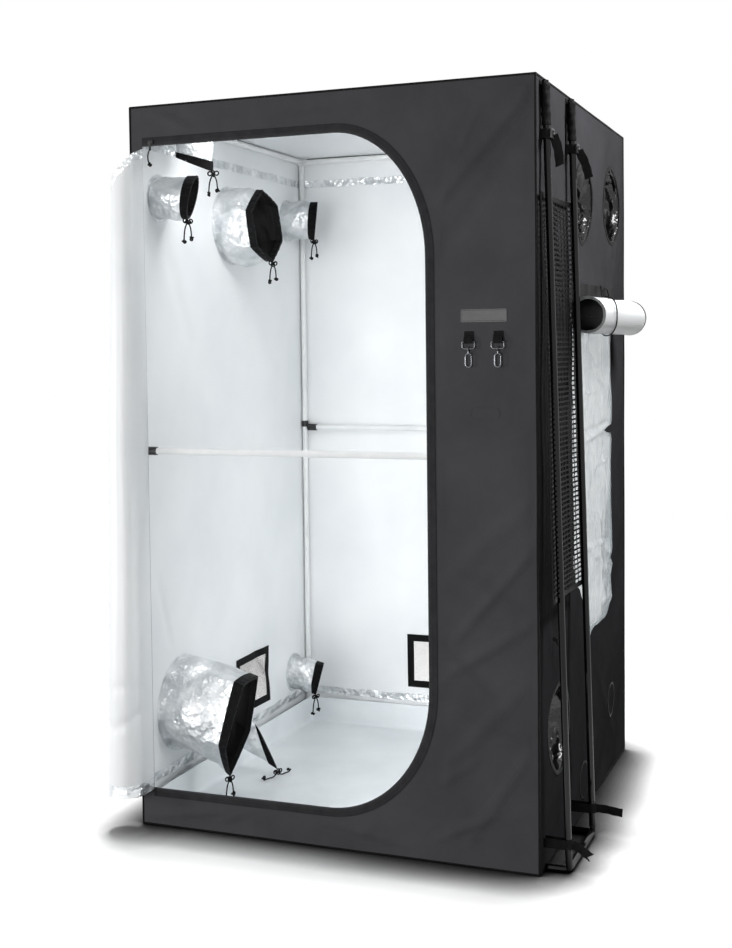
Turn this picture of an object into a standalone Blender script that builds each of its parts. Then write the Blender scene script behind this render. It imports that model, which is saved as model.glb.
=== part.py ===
"""Indoor grow tent on a 19 mm tube frame, metres, +Z up.

The origin is on the floor at the middle of the cover. The doorway faces -Y and the
equipment net stands outside the +X wall.
"""
import math

import bmesh
import bpy
from mathutils import Matrix, Vector

# Cover
TENT_WIDTH = 1.200
TENT_DEPTH = 1.200
TENT_HEIGHT = 2.100
CLOTH = 0.0015
SEAM_GAP = 0.0003

# Frame of tubes and three-way corners
TUBE_RADIUS = 0.0095
TUBE_WALL = 0.0012
HUB_RADIUS = 0.0125
HUB_ARM = 0.020
HUB_ARM_RADIUS = 0.0115
HUB_CHAMFER = 0.0008
STUB_LENGTH = 0.026
STUB_CLEARANCE = 0.0003

# Bars clipped to the frame
CLIP_WALL = 0.0025
CLIP_JOIN_SHARE = 1 / 3
POST_CLIP_HEIGHT = 0.022
POST_CLIP_MOUTH = 70.0
BAR_SLEEVE_LENGTH = 0.036
BAR_ABOVE_CLIP = 0.013
MID_BAR_SHARE = 0.5267
HANGING_CLIP_LENGTH = 0.030
HANGING_CLIP_MOUTH = 120.0
FRONT_HANGING_BAR_Y = -0.270
REAR_HANGING_BAR_Y = -0.115

# Doorway in the front panel
DOOR_LEFT_STRIP = 0.040
DOOR_RIGHT_COLUMN = 0.285
DOOR_TOP_STRIP = 0.120
DOOR_BOTTOM_STRIP = 0.100
DOOR_TOP_RADIUS = 0.155
DOOR_BOTTOM_RADIUS = 0.240
DOOR_ARC_STEPS = 9
ZIP_WIDTH = 0.022
ZIP_THICKNESS = 0.0016
ZIP_SET_BACK = 0.003
SLIDER_LENGTH = 0.016
SLIDER_WIDTH = 0.012
SLIDER_THICKNESS = 0.006
PULL_LENGTH = 0.024
PULL_WIDTH = 0.007
PULL_THICKNESS = 0.0016
PULL_CORNER_SHARE = 1 / 3
BRIDGE_RADIUS = 0.0022
SLIDER_INSET = 0.030

# Rolled door
DOOR_ROLL_RADIUS = 0.0575
DOOR_ROLL_TOP_RADIUS = 0.0365
DOOR_ROLL_PITCH = 0.0080
DOOR_ROLL_TURNS = 3.0
DOOR_ROLL_CLOTH = 0.0032
DOOR_ROLL_STANDOFF = 0.004
DOOR_ROLL_LIFT = 0.008
DOOR_TOP_FALL_SHARE = (1.00, 0.35)
DOOR_CUT_SHARE = 5.0
ROLL_TURN_STEPS = 20

# Duct ports, flanges and sleeves
SLEEVE_CLOTH = 0.0016
SLEEVE_FLANGE = 0.010
LARGE_PORT_RADIUS = 0.138
MEDIUM_PORT_RADIUS = 0.120
SMALL_PORT_RADIUS = 0.062
REAR_PORT_RADIUS = 0.066
FLOOR_PORT_RADIUS = 0.060
CABLE_PORT_RADIUS = 0.050
LARGE_SLEEVE_LENGTH = 0.205
MEDIUM_SLEEVE_LENGTH = 0.135
SMALL_SLEEVE_LENGTH = 0.112
FLOOR_SLEEVE_LENGTH = 0.105
CABLE_SLEEVE_LENGTH = 0.165
ROOF_SLEEVE_LENGTH = 0.142
FLAP_RADIUS = 0.055
FLAP_THICKNESS = 0.002

# Mesh vents
VENT_WIDTH = 0.255
VENT_HEIGHT = 0.195
VENT_BORDER = 0.025
VENT_THICKNESS = 0.0016
VENT_STRAND = 0.008
VENT_COLUMNS = 6
VENT_ROWS = 4
VENT_OVERLAP = 0.012

# Side window and its rolled cover
WINDOW_FRONT_Y = -0.200
WINDOW_REAR_Y = 0.400
WINDOW_BOTTOM_SHARE = 0.22857
WINDOW_TOP_SHARE = 0.73571
WINDOW_CORNER_RADIUS = 0.130
WINDOW_CORNER_STEPS = 5
FILM_THICKNESS = 0.0008
FILM_MARGIN = 0.018
WINDOW_ROLL_RADIUS = 0.0550
WINDOW_ROLL_PITCH = 0.0070
WINDOW_ROLL_TURNS = 2.0
WINDOW_ROLL_CLOTH = 0.0030
WINDOW_ROLL_DROP = 0.059
WINDOW_ROLL_FRONT_Y = -0.230
WINDOW_ROLL_REAR_Y = 0.405
WINDOW_HEADER_RISE = 0.096

# Floor tray
TRAY_CLEARANCE = 0.002
TRAY_UPSTAND = 0.092
TRAY_SHEET = 0.0015
TRAY_CORNER = 0.012

# Equipment rack outside the right wall
RACK_FRONT_Y = -0.550
RACK_REAR_Y = -0.250
RACK_TOP_OFFSET = 0.0125
RACK_FOOT_OFFSET = 0.0670
RACK_TOP_DROP = 0.012
RACK_SEAT = 0.006
FOOT_BEND = 0.020
FOOT_WALL_GAP = 0.003
NET_BOTTOM_SHARE = 0.34286
NET_TOP_SHARE = 0.85714
NET_THICKNESS = 0.0016
NET_FRONT_OVERHANG = 0.042
NET_REAR_OVERHANG = 0.011
NET_BORDER = 0.012
NET_STRAND = 0.006
NET_COLUMNS = 4
NET_ROWS = 28

# Webbing of the rack
WEBBING = 0.0016
WEBBING_WIDTH = 0.025
POCKET_LENGTH = 0.118
POLE_CLEARANCE = 0.0008
TOP_STRAP_DROP = 0.138
FOOT_STRAP_HEIGHT = 0.066
FRONT_TAIL_LENGTH = 0.060
REAR_TAIL_LENGTH = 0.080
BUCKLE_WIDTH = 0.034
BUCKLE_HEIGHT = 0.026
BUCKLE_THICKNESS = 0.005
POCKET_WALL = 0.0016
POCKET_CORNER = 0.004
BACKING_TOP = 0.0020
BACKING_FOOT = 0.0062
TOP_TAIL_LENGTH = 0.085
TOP_TAIL_TILT = math.radians(38.0)
FRONT_TAIL_DROOP = math.radians(28.0)

# Front hardware
HOOK_ROW_X = (0.417, 0.497)
RING_BAR_HEIGHT = 1.412
TAB_RISE = 0.028
TAB_ROOT_SHARE = 1 / 3
TAB_THICKNESS = 0.0024
RING_STANDOFF = 0.0080
BARREL_RADIUS = 0.0044
RING_WIRE = 0.0018
RING_CLEARANCE = 0.0005
RING_WIDTH = 0.034
RING_DEPTH = 0.018
RING_CORNER_SHARE = 1 / 3
EYE_RADIUS = 0.0052
EYE_WIRE = 0.0016
HOOK_NECK = 0.006
HOOK_LENGTH = 0.036
HOOK_WIDTH = 0.016
HOOK_WIRE = 0.0022
HOOK_NOSE_START = 22.0
GATE_WIRE = 0.0014
GATE_GAP = 0.0009
PATCH_WIDTH = 0.124
PATCH_HEIGHT = 0.034
PATCH_CENTRE = (0.457, 1.481)
TAG_WIDTH = 0.082
TAG_HEIGHT = 0.032
TAG_CENTRE = (0.459, 1.223)
PATCH_PROUD = 0.0010
PATCH_ROOT = 0.0005
PATCH_CORNER = 0.003

# Facets and cutting overrun
TUBE_SIDES = 16
HUB_SIDES = 10
WIRE_SIDES = 8
PORT_STEPS = 24
CORNER_STEPS = 3
BEND_STEPS = 4
EYE_STEPS = 12
HOOK_STEPS = 7
SMALL_PORT_STEPS = 20
CLIP_STEPS = 11
STRAP_STEPS = 8
SHARP_EDGE = math.radians(35.0)
OVERRUN = 0.010
WELD = 0.00001

# Ports on the side walls: share of the half depth from the middle, share of the height
LEFT_PORT_SHARES = {
    "sleeve_left_upper_front": (-0.735, 0.8830),
    "sleeve_left_upper_middle": (0.042, 0.8614),
    "sleeve_left_upper_rear": (0.800, 0.8870),
    "sleeve_left_lower_front": (-0.600, 0.1452),
    "sleeve_left_lower_small": (-0.150, 0.0795),
    "sleeve_left_lower_rear": (0.800, 0.0976),
}
RIGHT_PORT_SHARES = {
    "sleeve_right_upper_front": (-0.050, 0.8690),
    "sleeve_right_upper_rear": (0.642, 0.8810),
    "sleeve_right_lower_front": (-0.630, 0.1610),
}
RIGHT_FLAP_SHARES = ((0.600, 0.1119), (-0.100, 0.0452))
ROOF_PORT_SHARE = (-0.833, -0.667)
LEFT_VENT_SHARE = (0.230, 0.1205)
BACK_VENT_SHARE = (-0.108, 0.1205)

HALF_WIDTH = TENT_WIDTH / 2
HALF_DEPTH = TENT_DEPTH / 2
FRAME_INSET = CLOTH + SEAM_GAP + HUB_RADIUS
POST_X = HALF_WIDTH - FRAME_INSET
POST_Y = HALF_DEPTH - FRAME_INSET
RAIL_LOW = FRAME_INSET
RAIL_HIGH = TENT_HEIGHT - FRAME_INSET
CLIP_BORE = TUBE_RADIUS + SEAM_GAP
CLIP_RADIUS = CLIP_BORE + CLIP_WALL
MID_BAR_HEIGHT = MID_BAR_SHARE * TENT_HEIGHT
DOOR_LEFT = -HALF_WIDTH + DOOR_LEFT_STRIP
DOOR_TOP = TENT_HEIGHT - DOOR_TOP_STRIP
WINDOW_BOTTOM = WINDOW_BOTTOM_SHARE * TENT_HEIGHT
WINDOW_TOP = WINDOW_TOP_SHARE * TENT_HEIGHT
RACK_TOP = TENT_HEIGHT - RACK_TOP_DROP
NET_BOTTOM = NET_BOTTOM_SHARE * TENT_HEIGHT
NET_TOP = NET_TOP_SHARE * TENT_HEIGHT

UPRIGHT = (math.radians(90.0), 0.0, 0.0)
ALONG_X = (0.0, math.radians(90.0), 0.0)
ALONG_Y = (math.radians(90.0), 0.0, 0.0)
FACING_RIGHT = (math.radians(90.0), 0.0, math.radians(90.0))
FACING_LEFT = (math.radians(90.0), 0.0, math.radians(-90.0))
FACING_DOWN = (math.radians(180.0), 0.0, 0.0)

for old_object in list(bpy.data.objects):
    bpy.data.objects.remove(old_object, do_unlink=True)

parts = bpy.data.collections.new("grow_tent")
cutters = bpy.data.collections.new("cutters")
bpy.context.scene.collection.children.link(parts)
bpy.context.scene.collection.children.link(cutters)


def make_material(name, colour, roughness, metallic=0.0):
    """A plain surface: colour, roughness and metallic value."""
    material = bpy.data.materials.new(name)
    material.use_nodes = True
    shader = material.node_tree.nodes["Principled BSDF"]
    shader.inputs["Base Color"].default_value = (*colour, 1.0)
    shader.inputs["Roughness"].default_value = roughness
    shader.inputs["Metallic"].default_value = metallic
    return material


def place(name, mesh, material, location=(0, 0, 0), rotation=(0, 0, 0), parent=None):
    """Make one named part from a mesh."""
    part = bpy.data.objects.new(name, mesh)
    part.location = location
    part.rotation_euler = rotation
    part.parent = parent
    if not mesh.materials:
        own = material.copy()
        own.name = name + "_finish"
        mesh.materials.append(own)
    parts.objects.link(part)
    return part


def tool(name, mesh, location=(0, 0, 0), rotation=(0, 0, 0), parent=None):
    """A shape that is only used to cut or join."""
    shape = bpy.data.objects.new(name, mesh)
    shape.location = location
    shape.rotation_euler = rotation
    shape.parent = parent
    shape.hide_render = True
    shape.display_type = "WIRE"
    cutters.objects.link(shape)
    return shape


def combine(part, other, operation):
    """Join another shape to a part, or cut it out of the part."""
    modifier = part.modifiers.new(operation.title() + " " + other.name, "BOOLEAN")
    modifier.operation = operation
    modifier.object = other
    modifier.solver = "EXACT"


def smooth(mesh):
    """Shade round faces smooth and keep real edges sharp."""
    mesh.shade_smooth()
    mesh.set_sharp_from_angle(angle=SHARP_EDGE)
    return mesh


def mesh_from(bm, name):
    """Turn an edit mesh into a mesh."""
    bmesh.ops.recalc_face_normals(bm, faces=bm.faces)
    mesh = bpy.data.meshes.new(name)
    bm.to_mesh(mesh)
    bm.free()
    return smooth(mesh)


def rod(name, radius, length, sides=TUBE_SIDES):
    """A solid cylinder along Z about its middle."""
    bm = bmesh.new()
    bmesh.ops.create_cone(bm, cap_ends=True, segments=sides, radius1=radius, radius2=radius, depth=length)
    return mesh_from(bm, name)


def box(name, size, corner=0.0):
    """A block about its middle, with its edges rounded where a corner is given."""
    bm = bmesh.new()
    bmesh.ops.create_cube(bm, size=1.0, matrix=Matrix.Diagonal((*size, 1.0)))
    if corner:
        bmesh.ops.bevel(bm, geom=bm.edges[:], offset=corner, segments=1, affect="EDGES", profile=0.5)
    return mesh_from(bm, name)


def place_tube(name, length, material, location, rotation=(0, 0, 0), parent=None):
    """A hollow frame tube along Z about its middle, as a part."""
    bm = bmesh.new()
    bmesh.ops.create_cone(bm, cap_ends=False, segments=TUBE_SIDES, radius1=TUBE_RADIUS, radius2=TUBE_RADIUS,
                          depth=length)
    part = place(name, mesh_from(bm, name), material, location, rotation, parent)
    solidify = part.modifiers.new("Wall", "SOLIDIFY")
    solidify.thickness = TUBE_WALL
    solidify.offset = -1.0
    return part


def curve_mesh(name, splines, cyclic, fill, extrude=0.0, bevel=0.0, bevel_steps=0):
    """Evaluate a curve and weld its caps."""
    curve = bpy.data.curves.new(name, "CURVE")
    curve.dimensions = "2D" if fill else "3D"
    if fill:
        curve.fill_mode = "BOTH"
    else:
        curve.fill_mode = "FULL"
        curve.use_fill_caps = not cyclic
    curve.extrude = extrude
    curve.bevel_depth = bevel
    curve.bevel_resolution = bevel_steps
    for points in splines:
        spline = curve.splines.new("POLY")
        spline.points.add(len(points) - 1)
        for point, place_in_curve in zip(spline.points, points):
            point.co = (*place_in_curve, 1.0) if len(place_in_curve) == 3 else (*place_in_curve, 0.0, 1.0)
        spline.use_cyclic_u = cyclic
    holder = bpy.data.objects.new(name, curve)
    bpy.context.scene.collection.objects.link(holder)
    graph = bpy.context.evaluated_depsgraph_get()
    mesh = bpy.data.meshes.new_from_object(holder.evaluated_get(graph))
    bpy.data.objects.remove(holder, do_unlink=True)
    bpy.data.curves.remove(curve)
    bm = bmesh.new()
    bm.from_mesh(mesh)
    bpy.data.meshes.remove(mesh)
    bmesh.ops.remove_doubles(bm, verts=bm.verts, dist=WELD)
    bmesh.ops.dissolve_degenerate(bm, dist=WELD, edges=bm.edges)
    return mesh_from(bm, name)


def flat(name, outlines, thickness):
    """A flat piece about local z = 0 from its outline and its holes."""
    return curve_mesh(name, outlines, cyclic=True, fill=True, extrude=thickness / 2)


def wire(name, points, radius, closed=False):
    """A round wire through the points."""
    return curve_mesh(name, [points], cyclic=closed, fill=False, bevel=radius, bevel_steps=2)


def rectangle(low_x, low_y, high_x, high_y):
    """Corners of a rectangle, anticlockwise."""
    return [(low_x, low_y), (high_x, low_y), (high_x, high_y), (low_x, high_y)]


def arc(centre, radius, start, end, steps):
    """Points on an arc, both ends included, angles in degrees."""
    points = []
    for step in range(steps + 1):
        angle = math.radians(start + (end - start) * step / steps)
        points.append((centre[0] + radius * math.cos(angle), centre[1] + radius * math.sin(angle)))
    return points


def circle(centre, radius, steps):
    """Points round a circle."""
    return arc(centre, radius, 0.0, 360.0 * (steps - 1) / steps, steps - 1)


def rounded_rectangle(low_x, low_y, high_x, high_y, radius, steps):
    """A rectangle with arcs at its corners."""
    points = arc((high_x - radius, low_y + radius), radius, -90.0, 0.0, steps)
    points += arc((high_x - radius, high_y - radius), radius, 0.0, 90.0, steps)
    points += arc((low_x + radius, high_y - radius), radius, 90.0, 180.0, steps)
    points += arc((low_x + radius, low_y + radius), radius, 180.0, 270.0, steps)
    return points


# Finishes
WHITE_STEEL = make_material("white_powder_coated_steel", (0.86, 0.87, 0.87), 0.35)
BLACK_STEEL = make_material("black_powder_coated_steel", (0.012, 0.012, 0.013), 0.30)
BLACK_PLASTIC = make_material("black_moulded_nylon", (0.020, 0.020, 0.021), 0.45)
OXFORD = make_material("charcoal_oxford_cloth", (0.050, 0.050, 0.053), 0.75)
LINER = make_material("white_floor_liner", (0.84, 0.86, 0.87), 0.35)
WHITE_FILM = make_material("white_reflective_lining", (0.88, 0.89, 0.90), 0.40)
MYLAR = make_material("crinkled_silver_mylar", (0.70, 0.71, 0.72), 0.28, 0.85)
CLEAR_FILM = make_material("clear_window_film", (0.72, 0.75, 0.77), 0.20)
WEBBING_BLACK = make_material("black_polyester_webbing", (0.018, 0.018, 0.019), 0.80)
NET_BLACK = make_material("black_slotted_net", (0.015, 0.015, 0.016), 0.60)
NICKEL = make_material("dark_nickel_plate", (0.45, 0.45, 0.46), 0.25, 1.0)


def corner_connector_mesh():
    """Three arms from a corner block, each with a stub that fills a tube end."""
    stub_radius = TUBE_RADIUS - TUBE_WALL - STUB_CLEARANCE
    reach = HUB_ARM + STUB_LENGTH
    block = HUB_RADIUS + HUB_RADIUS
    hub = tool("corner_core", box("corner_core", (block, block, block), HUB_CHAMFER))
    turns = {"x": ALONG_X, "y": ALONG_Y, "z": (0.0, 0.0, 0.0)}
    directions = {"x": Vector((1, 0, 0)), "y": Vector((0, 1, 0)), "z": Vector((0, 0, 1))}
    for axis, turn in turns.items():
        arm = tool("corner_arm_" + axis, rod("corner_arm", HUB_ARM_RADIUS, HUB_ARM, HUB_SIDES),
                   directions[axis] * HUB_ARM / 2, turn)
        combine(hub, arm, "UNION")
        stub = tool("corner_stub_" + axis, rod("corner_stub", stub_radius, reach, HUB_SIDES),
                    directions[axis] * reach / 2, turn)
        combine(hub, stub, "UNION")
    graph = bpy.context.evaluated_depsgraph_get()
    mesh = bpy.data.meshes.new_from_object(hub.evaluated_get(graph))
    for shape in list(cutters.objects):
        bpy.data.objects.remove(shape, do_unlink=True)
    return mesh


def build_frame():
    """Posts, rails and the eight corners."""
    corner = corner_connector_mesh()
    corner.name = "corner_connector"
    corner.materials.clear()
    butt = HUB_ARM + SEAM_GAP
    turns = {("left", "front"): 0.0, ("right", "front"): 90.0,
             ("right", "rear"): 180.0, ("left", "rear"): 270.0}
    for (side, end), turn in turns.items():
        x = -POST_X if side == "left" else POST_X
        y = -POST_Y if end == "front" else POST_Y
        place("corner_bottom_" + side + "_" + end, corner, BLACK_PLASTIC, (x, y, RAIL_LOW),
              (0.0, 0.0, math.radians(turn)))
        place("corner_top_" + side + "_" + end, corner, BLACK_PLASTIC, (x, y, RAIL_HIGH),
              (math.radians(180.0), 0.0, math.radians(turn + 90.0)))
        place_tube("post_" + side + "_" + end, RAIL_HIGH - RAIL_LOW - butt - butt, WHITE_STEEL,
                   (x, y, (RAIL_HIGH + RAIL_LOW) / 2))
    for level, z in (("bottom", RAIL_LOW), ("top", RAIL_HIGH)):
        for end, y in (("front", -POST_Y), ("rear", POST_Y)):
            place_tube(level + "_rail_" + end, 2 * (POST_X - butt), WHITE_STEEL, (0, y, z), ALONG_X)
        for side, x in (("left", -POST_X), ("right", POST_X)):
            place_tube(level + "_rail_" + side, 2 * (POST_Y - butt), WHITE_STEEL, (x, 0, z), ALONG_Y)


def clip_mesh(name, length, mouth):
    """A snap-on clip round a tube: part of a ring, open over the mouth angle towards +X."""
    half = mouth / 2
    outline = arc((0, 0), CLIP_RADIUS, half, 360.0 - half, CLIP_STEPS)
    outline += arc((0, 0), CLIP_BORE, 360.0 - half, half, CLIP_STEPS)
    return flat(name, [outline], length)


def hollow_out(bar, reach):
    """Cut the bore of a tube that lies along X through a bar and the clips at its ends."""
    bore = tool(bar.name + "_bore", rod("bar_bore", TUBE_RADIUS - TUBE_WALL, 2 * reach, HUB_SIDES),
                bar.location, ALONG_X)
    combine(bar, bore, "DIFFERENCE")


def build_hanging_bar(name, y):
    """A roof bar whose end clips sit over the side rails."""
    reach = POST_X - CLIP_BORE - CLIP_WALL / 2
    bar = place(name, rod(name, TUBE_RADIUS, 2 * reach), WHITE_STEEL, (0, y, RAIL_HIGH), ALONG_X)
    for side, x in (("left", -POST_X), ("right", POST_X)):
        clip = tool(name + "_clip_" + side, clip_mesh("hanging_clip", HANGING_CLIP_LENGTH,
                                                          HANGING_CLIP_MOUTH),
                    (x, y, RAIL_HIGH), (math.radians(90.0), math.radians(90.0), 0.0))
        combine(bar, clip, "UNION")
    hollow_out(bar, POST_X)


def build_mid_bar(name, y, height, clip_offset):
    """A bar across two posts; each end sits in a sleeve beside a clip that grips the post."""
    start = CLIP_BORE + CLIP_WALL * CLIP_JOIN_SHARE
    bar = place(name, rod(name, TUBE_RADIUS, 2 * (POST_X - start)), WHITE_STEEL, (0, y, height), ALONG_X)
    for side, sign, turn in (("left", -1, 180.0), ("right", 1, 0.0)):
        sleeve = tool(name + "_sleeve_" + side, rod("bar_sleeve", CLIP_RADIUS, BAR_SLEEVE_LENGTH),
                      (sign * (POST_X - start - BAR_SLEEVE_LENGTH / 2), y, height), ALONG_X)
        combine(bar, sleeve, "UNION")
        clip = tool(name + "_clip_" + side, clip_mesh("post_clip", POST_CLIP_HEIGHT, POST_CLIP_MOUTH),
                    (sign * POST_X, y, height + clip_offset), (0.0, 0.0, math.radians(turn)))
        combine(bar, clip, "UNION")
    hollow_out(bar, POST_X)


def doorway_path(offset):
    """The D-shaped doorway edge, moved outwards by an offset, from top left to bottom left."""
    right = HALF_WIDTH - DOOR_RIGHT_COLUMN + offset
    top = DOOR_TOP + offset
    bottom = DOOR_BOTTOM_STRIP - offset
    top_radius = DOOR_TOP_RADIUS + offset
    bottom_radius = DOOR_BOTTOM_RADIUS + offset
    path = [(DOOR_LEFT, top)]
    path += arc((right - top_radius, top - top_radius), top_radius, 90.0, 0.0, DOOR_ARC_STEPS)
    path += arc((right - bottom_radius, bottom + bottom_radius), bottom_radius, 0.0, -90.0, DOOR_ARC_STEPS)
    path.append((DOOR_LEFT, bottom))
    return path


def build_front_panel():
    """The front of the cover with its doorway, the bare patches and the two webbing tabs."""
    low = CLOTH + SEAM_GAP
    outline = rectangle(-HALF_WIDTH, low, HALF_WIDTH, TENT_HEIGHT - low)
    face = flat("front_panel", [outline, doorway_path(0.0)], CLOTH)
    front_y = -HALF_DEPTH
    panel = place("front_panel", face, OXFORD, (0, front_y + CLOTH / 2, 0), UPRIGHT)
    patches = (("label_patch", PATCH_WIDTH, PATCH_HEIGHT, PATCH_CENTRE),
               ("oval_tag", TAG_WIDTH, TAG_HEIGHT, TAG_CENTRE))
    for name, width, height, centre in patches:
        corner = height / 2 - PATCH_CORNER if name == "oval_tag" else PATCH_CORNER
        shape = rounded_rectangle(-width / 2, -height / 2, width / 2, height / 2, corner, BEND_STEPS)
        patch = tool(name, flat(name, [shape], PATCH_PROUD + PATCH_ROOT),
                     (centre[0], front_y - (PATCH_PROUD - PATCH_ROOT) / 2, centre[1]), UPRIGHT)
        combine(panel, patch, "UNION")
    for number, x in enumerate(HOOK_ROW_X, start=1):
        fold = [(PATCH_ROOT, TAB_RISE), (-TAB_THICKNESS, TAB_RISE)]
        fold += arc((-RING_STANDOFF, 0), BARREL_RADIUS, 180.0, 360.0, STRAP_STEPS)
        fold.append((PATCH_ROOT, TAB_RISE * TAB_ROOT_SHARE))
        tab = tool("tab_" + str(number), flat("tab", [fold], WEBBING_WIDTH), (x, front_y, RING_BAR_HEIGHT),
                   FACING_RIGHT)
        combine(panel, tab, "UNION")
        bore = tool("barrel_bore_" + str(number),
                    rod("barrel_bore", RING_WIRE + RING_CLEARANCE, WEBBING_WIDTH + OVERRUN),
                    (x, ring_bar_y(), RING_BAR_HEIGHT), ALONG_X)
        combine(panel, bore, "DIFFERENCE")


def ring_bar_y():
    """How far in front of the cover the straight bar of a D-ring lies."""
    return -HALF_DEPTH - RING_STANDOFF


def port_centre(share):
    """Port place on a side wall: distance along the depth and height."""
    return share[0] * HALF_DEPTH, share[1] * TENT_HEIGHT


LEFT_PORT_RADIUS = {
    "sleeve_left_upper_front": SMALL_PORT_RADIUS,
    "sleeve_left_upper_middle": MEDIUM_PORT_RADIUS,
    "sleeve_left_upper_rear": REAR_PORT_RADIUS,
    "sleeve_left_lower_front": LARGE_PORT_RADIUS,
    "sleeve_left_lower_small": CABLE_PORT_RADIUS,
    "sleeve_left_lower_rear": FLOOR_PORT_RADIUS,
}
RIGHT_PORT_RADIUS = {
    "sleeve_right_upper_front": MEDIUM_PORT_RADIUS,
    "sleeve_right_upper_rear": MEDIUM_PORT_RADIUS,
    "sleeve_right_lower_front": MEDIUM_PORT_RADIUS,
}


def vent_hole(centre):
    """The hole in the wall behind a mesh vent."""
    half_width = VENT_WIDTH / 2 - VENT_OVERLAP
    half_height = VENT_HEIGHT / 2 - VENT_OVERLAP
    return rectangle(centre[0] - half_width, centre[1] - half_height,
                     centre[0] + half_width, centre[1] + half_height)


def build_walls():
    """Side walls, back wall, roof and floor of the cover."""
    low = CLOTH + SEAM_GAP
    side_outline = rectangle(-HALF_DEPTH + low, low, HALF_DEPTH - low, TENT_HEIGHT - low)
    left_holes = [circle(port_centre(LEFT_PORT_SHARES[name]), radius, PORT_STEPS)
                  for name, radius in LEFT_PORT_RADIUS.items()]
    left_holes.append(vent_hole(port_centre(LEFT_VENT_SHARE)))
    left = flat("left_wall", [side_outline] + left_holes, CLOTH)
    place("left_wall", left, OXFORD, (-HALF_WIDTH + CLOTH / 2, 0, 0), FACING_RIGHT)

    right_holes = [circle(port_centre(RIGHT_PORT_SHARES[name]), radius, PORT_STEPS)
                   for name, radius in RIGHT_PORT_RADIUS.items()]
    right_holes.append(rounded_rectangle(WINDOW_FRONT_Y, WINDOW_BOTTOM, WINDOW_REAR_Y, WINDOW_TOP,
                                         WINDOW_CORNER_RADIUS, WINDOW_CORNER_STEPS))
    right = place("right_wall", flat("right_wall", [side_outline] + right_holes, CLOTH), OXFORD,
                  (HALF_WIDTH - CLOTH / 2, 0, 0), FACING_RIGHT)
    for number, share in enumerate(RIGHT_FLAP_SHARES, start=1):
        y, z = port_centre(share)
        flap = tool("cable_flap_" + str(number), rod("cable_flap", FLAP_RADIUS, FLAP_THICKNESS + PATCH_ROOT),
                    (HALF_WIDTH + (FLAP_THICKNESS - PATCH_ROOT) / 2, y, z), ALONG_X)
        combine(right, flap, "UNION")
    add_foot_straps(right)

    back_outline = rectangle(-HALF_WIDTH, low, HALF_WIDTH, TENT_HEIGHT - low)
    back_centre = (BACK_VENT_SHARE[0] * HALF_WIDTH, BACK_VENT_SHARE[1] * TENT_HEIGHT)
    back = flat("back_wall", [back_outline, vent_hole(back_centre)], CLOTH)
    place("back_wall", back, OXFORD, (0, HALF_DEPTH - CLOTH / 2, 0), UPRIGHT)

    whole = rectangle(-HALF_WIDTH, -HALF_DEPTH, HALF_WIDTH, HALF_DEPTH)
    roof_port = (ROOF_PORT_SHARE[0] * HALF_WIDTH, ROOF_PORT_SHARE[1] * HALF_DEPTH)
    roof = flat("roof_panel", [whole, circle(roof_port, CABLE_PORT_RADIUS, SMALL_PORT_STEPS)], CLOTH)
    place("roof_panel", roof, OXFORD, (0, 0, TENT_HEIGHT - CLOTH / 2))
    place("floor_panel", flat("floor_panel", [whole], CLOTH), OXFORD, (0, 0, CLOTH / 2))


def build_zip():
    """The zip tape round the doorway and its slider at the open end."""
    inner = doorway_path(ZIP_SET_BACK)
    outer = doorway_path(ZIP_SET_BACK + ZIP_WIDTH)
    tape_y = -HALF_DEPTH - SEAM_GAP - ZIP_THICKNESS / 2
    tape = flat("door_zip", [inner + outer[::-1]], ZIP_THICKNESS)
    place("door_zip", tape, BLACK_PLASTIC, (0, tape_y, 0), UPRIGHT)
    slider_y = tape_y - ZIP_THICKNESS / 2 - SEAM_GAP - SLIDER_THICKNESS / 2
    x = DOOR_LEFT + SLIDER_INSET
    z = DOOR_TOP + ZIP_SET_BACK + ZIP_WIDTH / 2
    slider = place("zip_slider", box("zip_slider", (SLIDER_LENGTH, SLIDER_THICKNESS, SLIDER_WIDTH),
                                     PULL_THICKNESS / 2), BLACK_PLASTIC, (x, slider_y, z))
    face_y = slider_y - SLIDER_THICKNESS / 2
    bridge_pin = rod("slider_bridge", BRIDGE_RADIUS, PULL_WIDTH + PULL_THICKNESS, WIRE_SIDES)
    bridge = tool("slider_bridge", bridge_pin, (x, face_y - PULL_THICKNESS / 2, z), ALONG_X)
    combine(slider, bridge, "UNION")
    pull_shape = rounded_rectangle(-PULL_WIDTH / 2, -PULL_LENGTH, PULL_WIDTH / 2, 0.0,
                                   PULL_WIDTH * PULL_CORNER_SHARE, CORNER_STEPS)
    pull = tool("slider_pull", flat("slider_pull", [pull_shape], PULL_THICKNESS),
                (x, face_y - PULL_THICKNESS / 2 - SEAM_GAP, z + BRIDGE_RADIUS / 2), UPRIGHT)
    combine(slider, pull, "UNION")


def wound_sheet(radius, pitch, turns, thickness, tail):
    """Outline of a rolled sheet: a spiral that ends at angle 0 with a straight tail along +Y."""
    steps = int(turns * ROLL_TURN_STEPS)
    outside = []
    inside = []
    for step in range(steps + 1):
        share = step / steps
        angle = math.radians(360.0) * turns * (share - 1.0)
        middle = radius - thickness / 2 - pitch * turns * (1.0 - share)
        outer = middle + thickness / 2
        inner = middle - thickness / 2
        outside.append((outer * math.cos(angle), outer * math.sin(angle)))
        inside.append((inner * math.cos(angle), inner * math.sin(angle)))
    outside.append((radius, tail))
    inside.append((radius - thickness, tail))
    return outside + inside[::-1]


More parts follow.
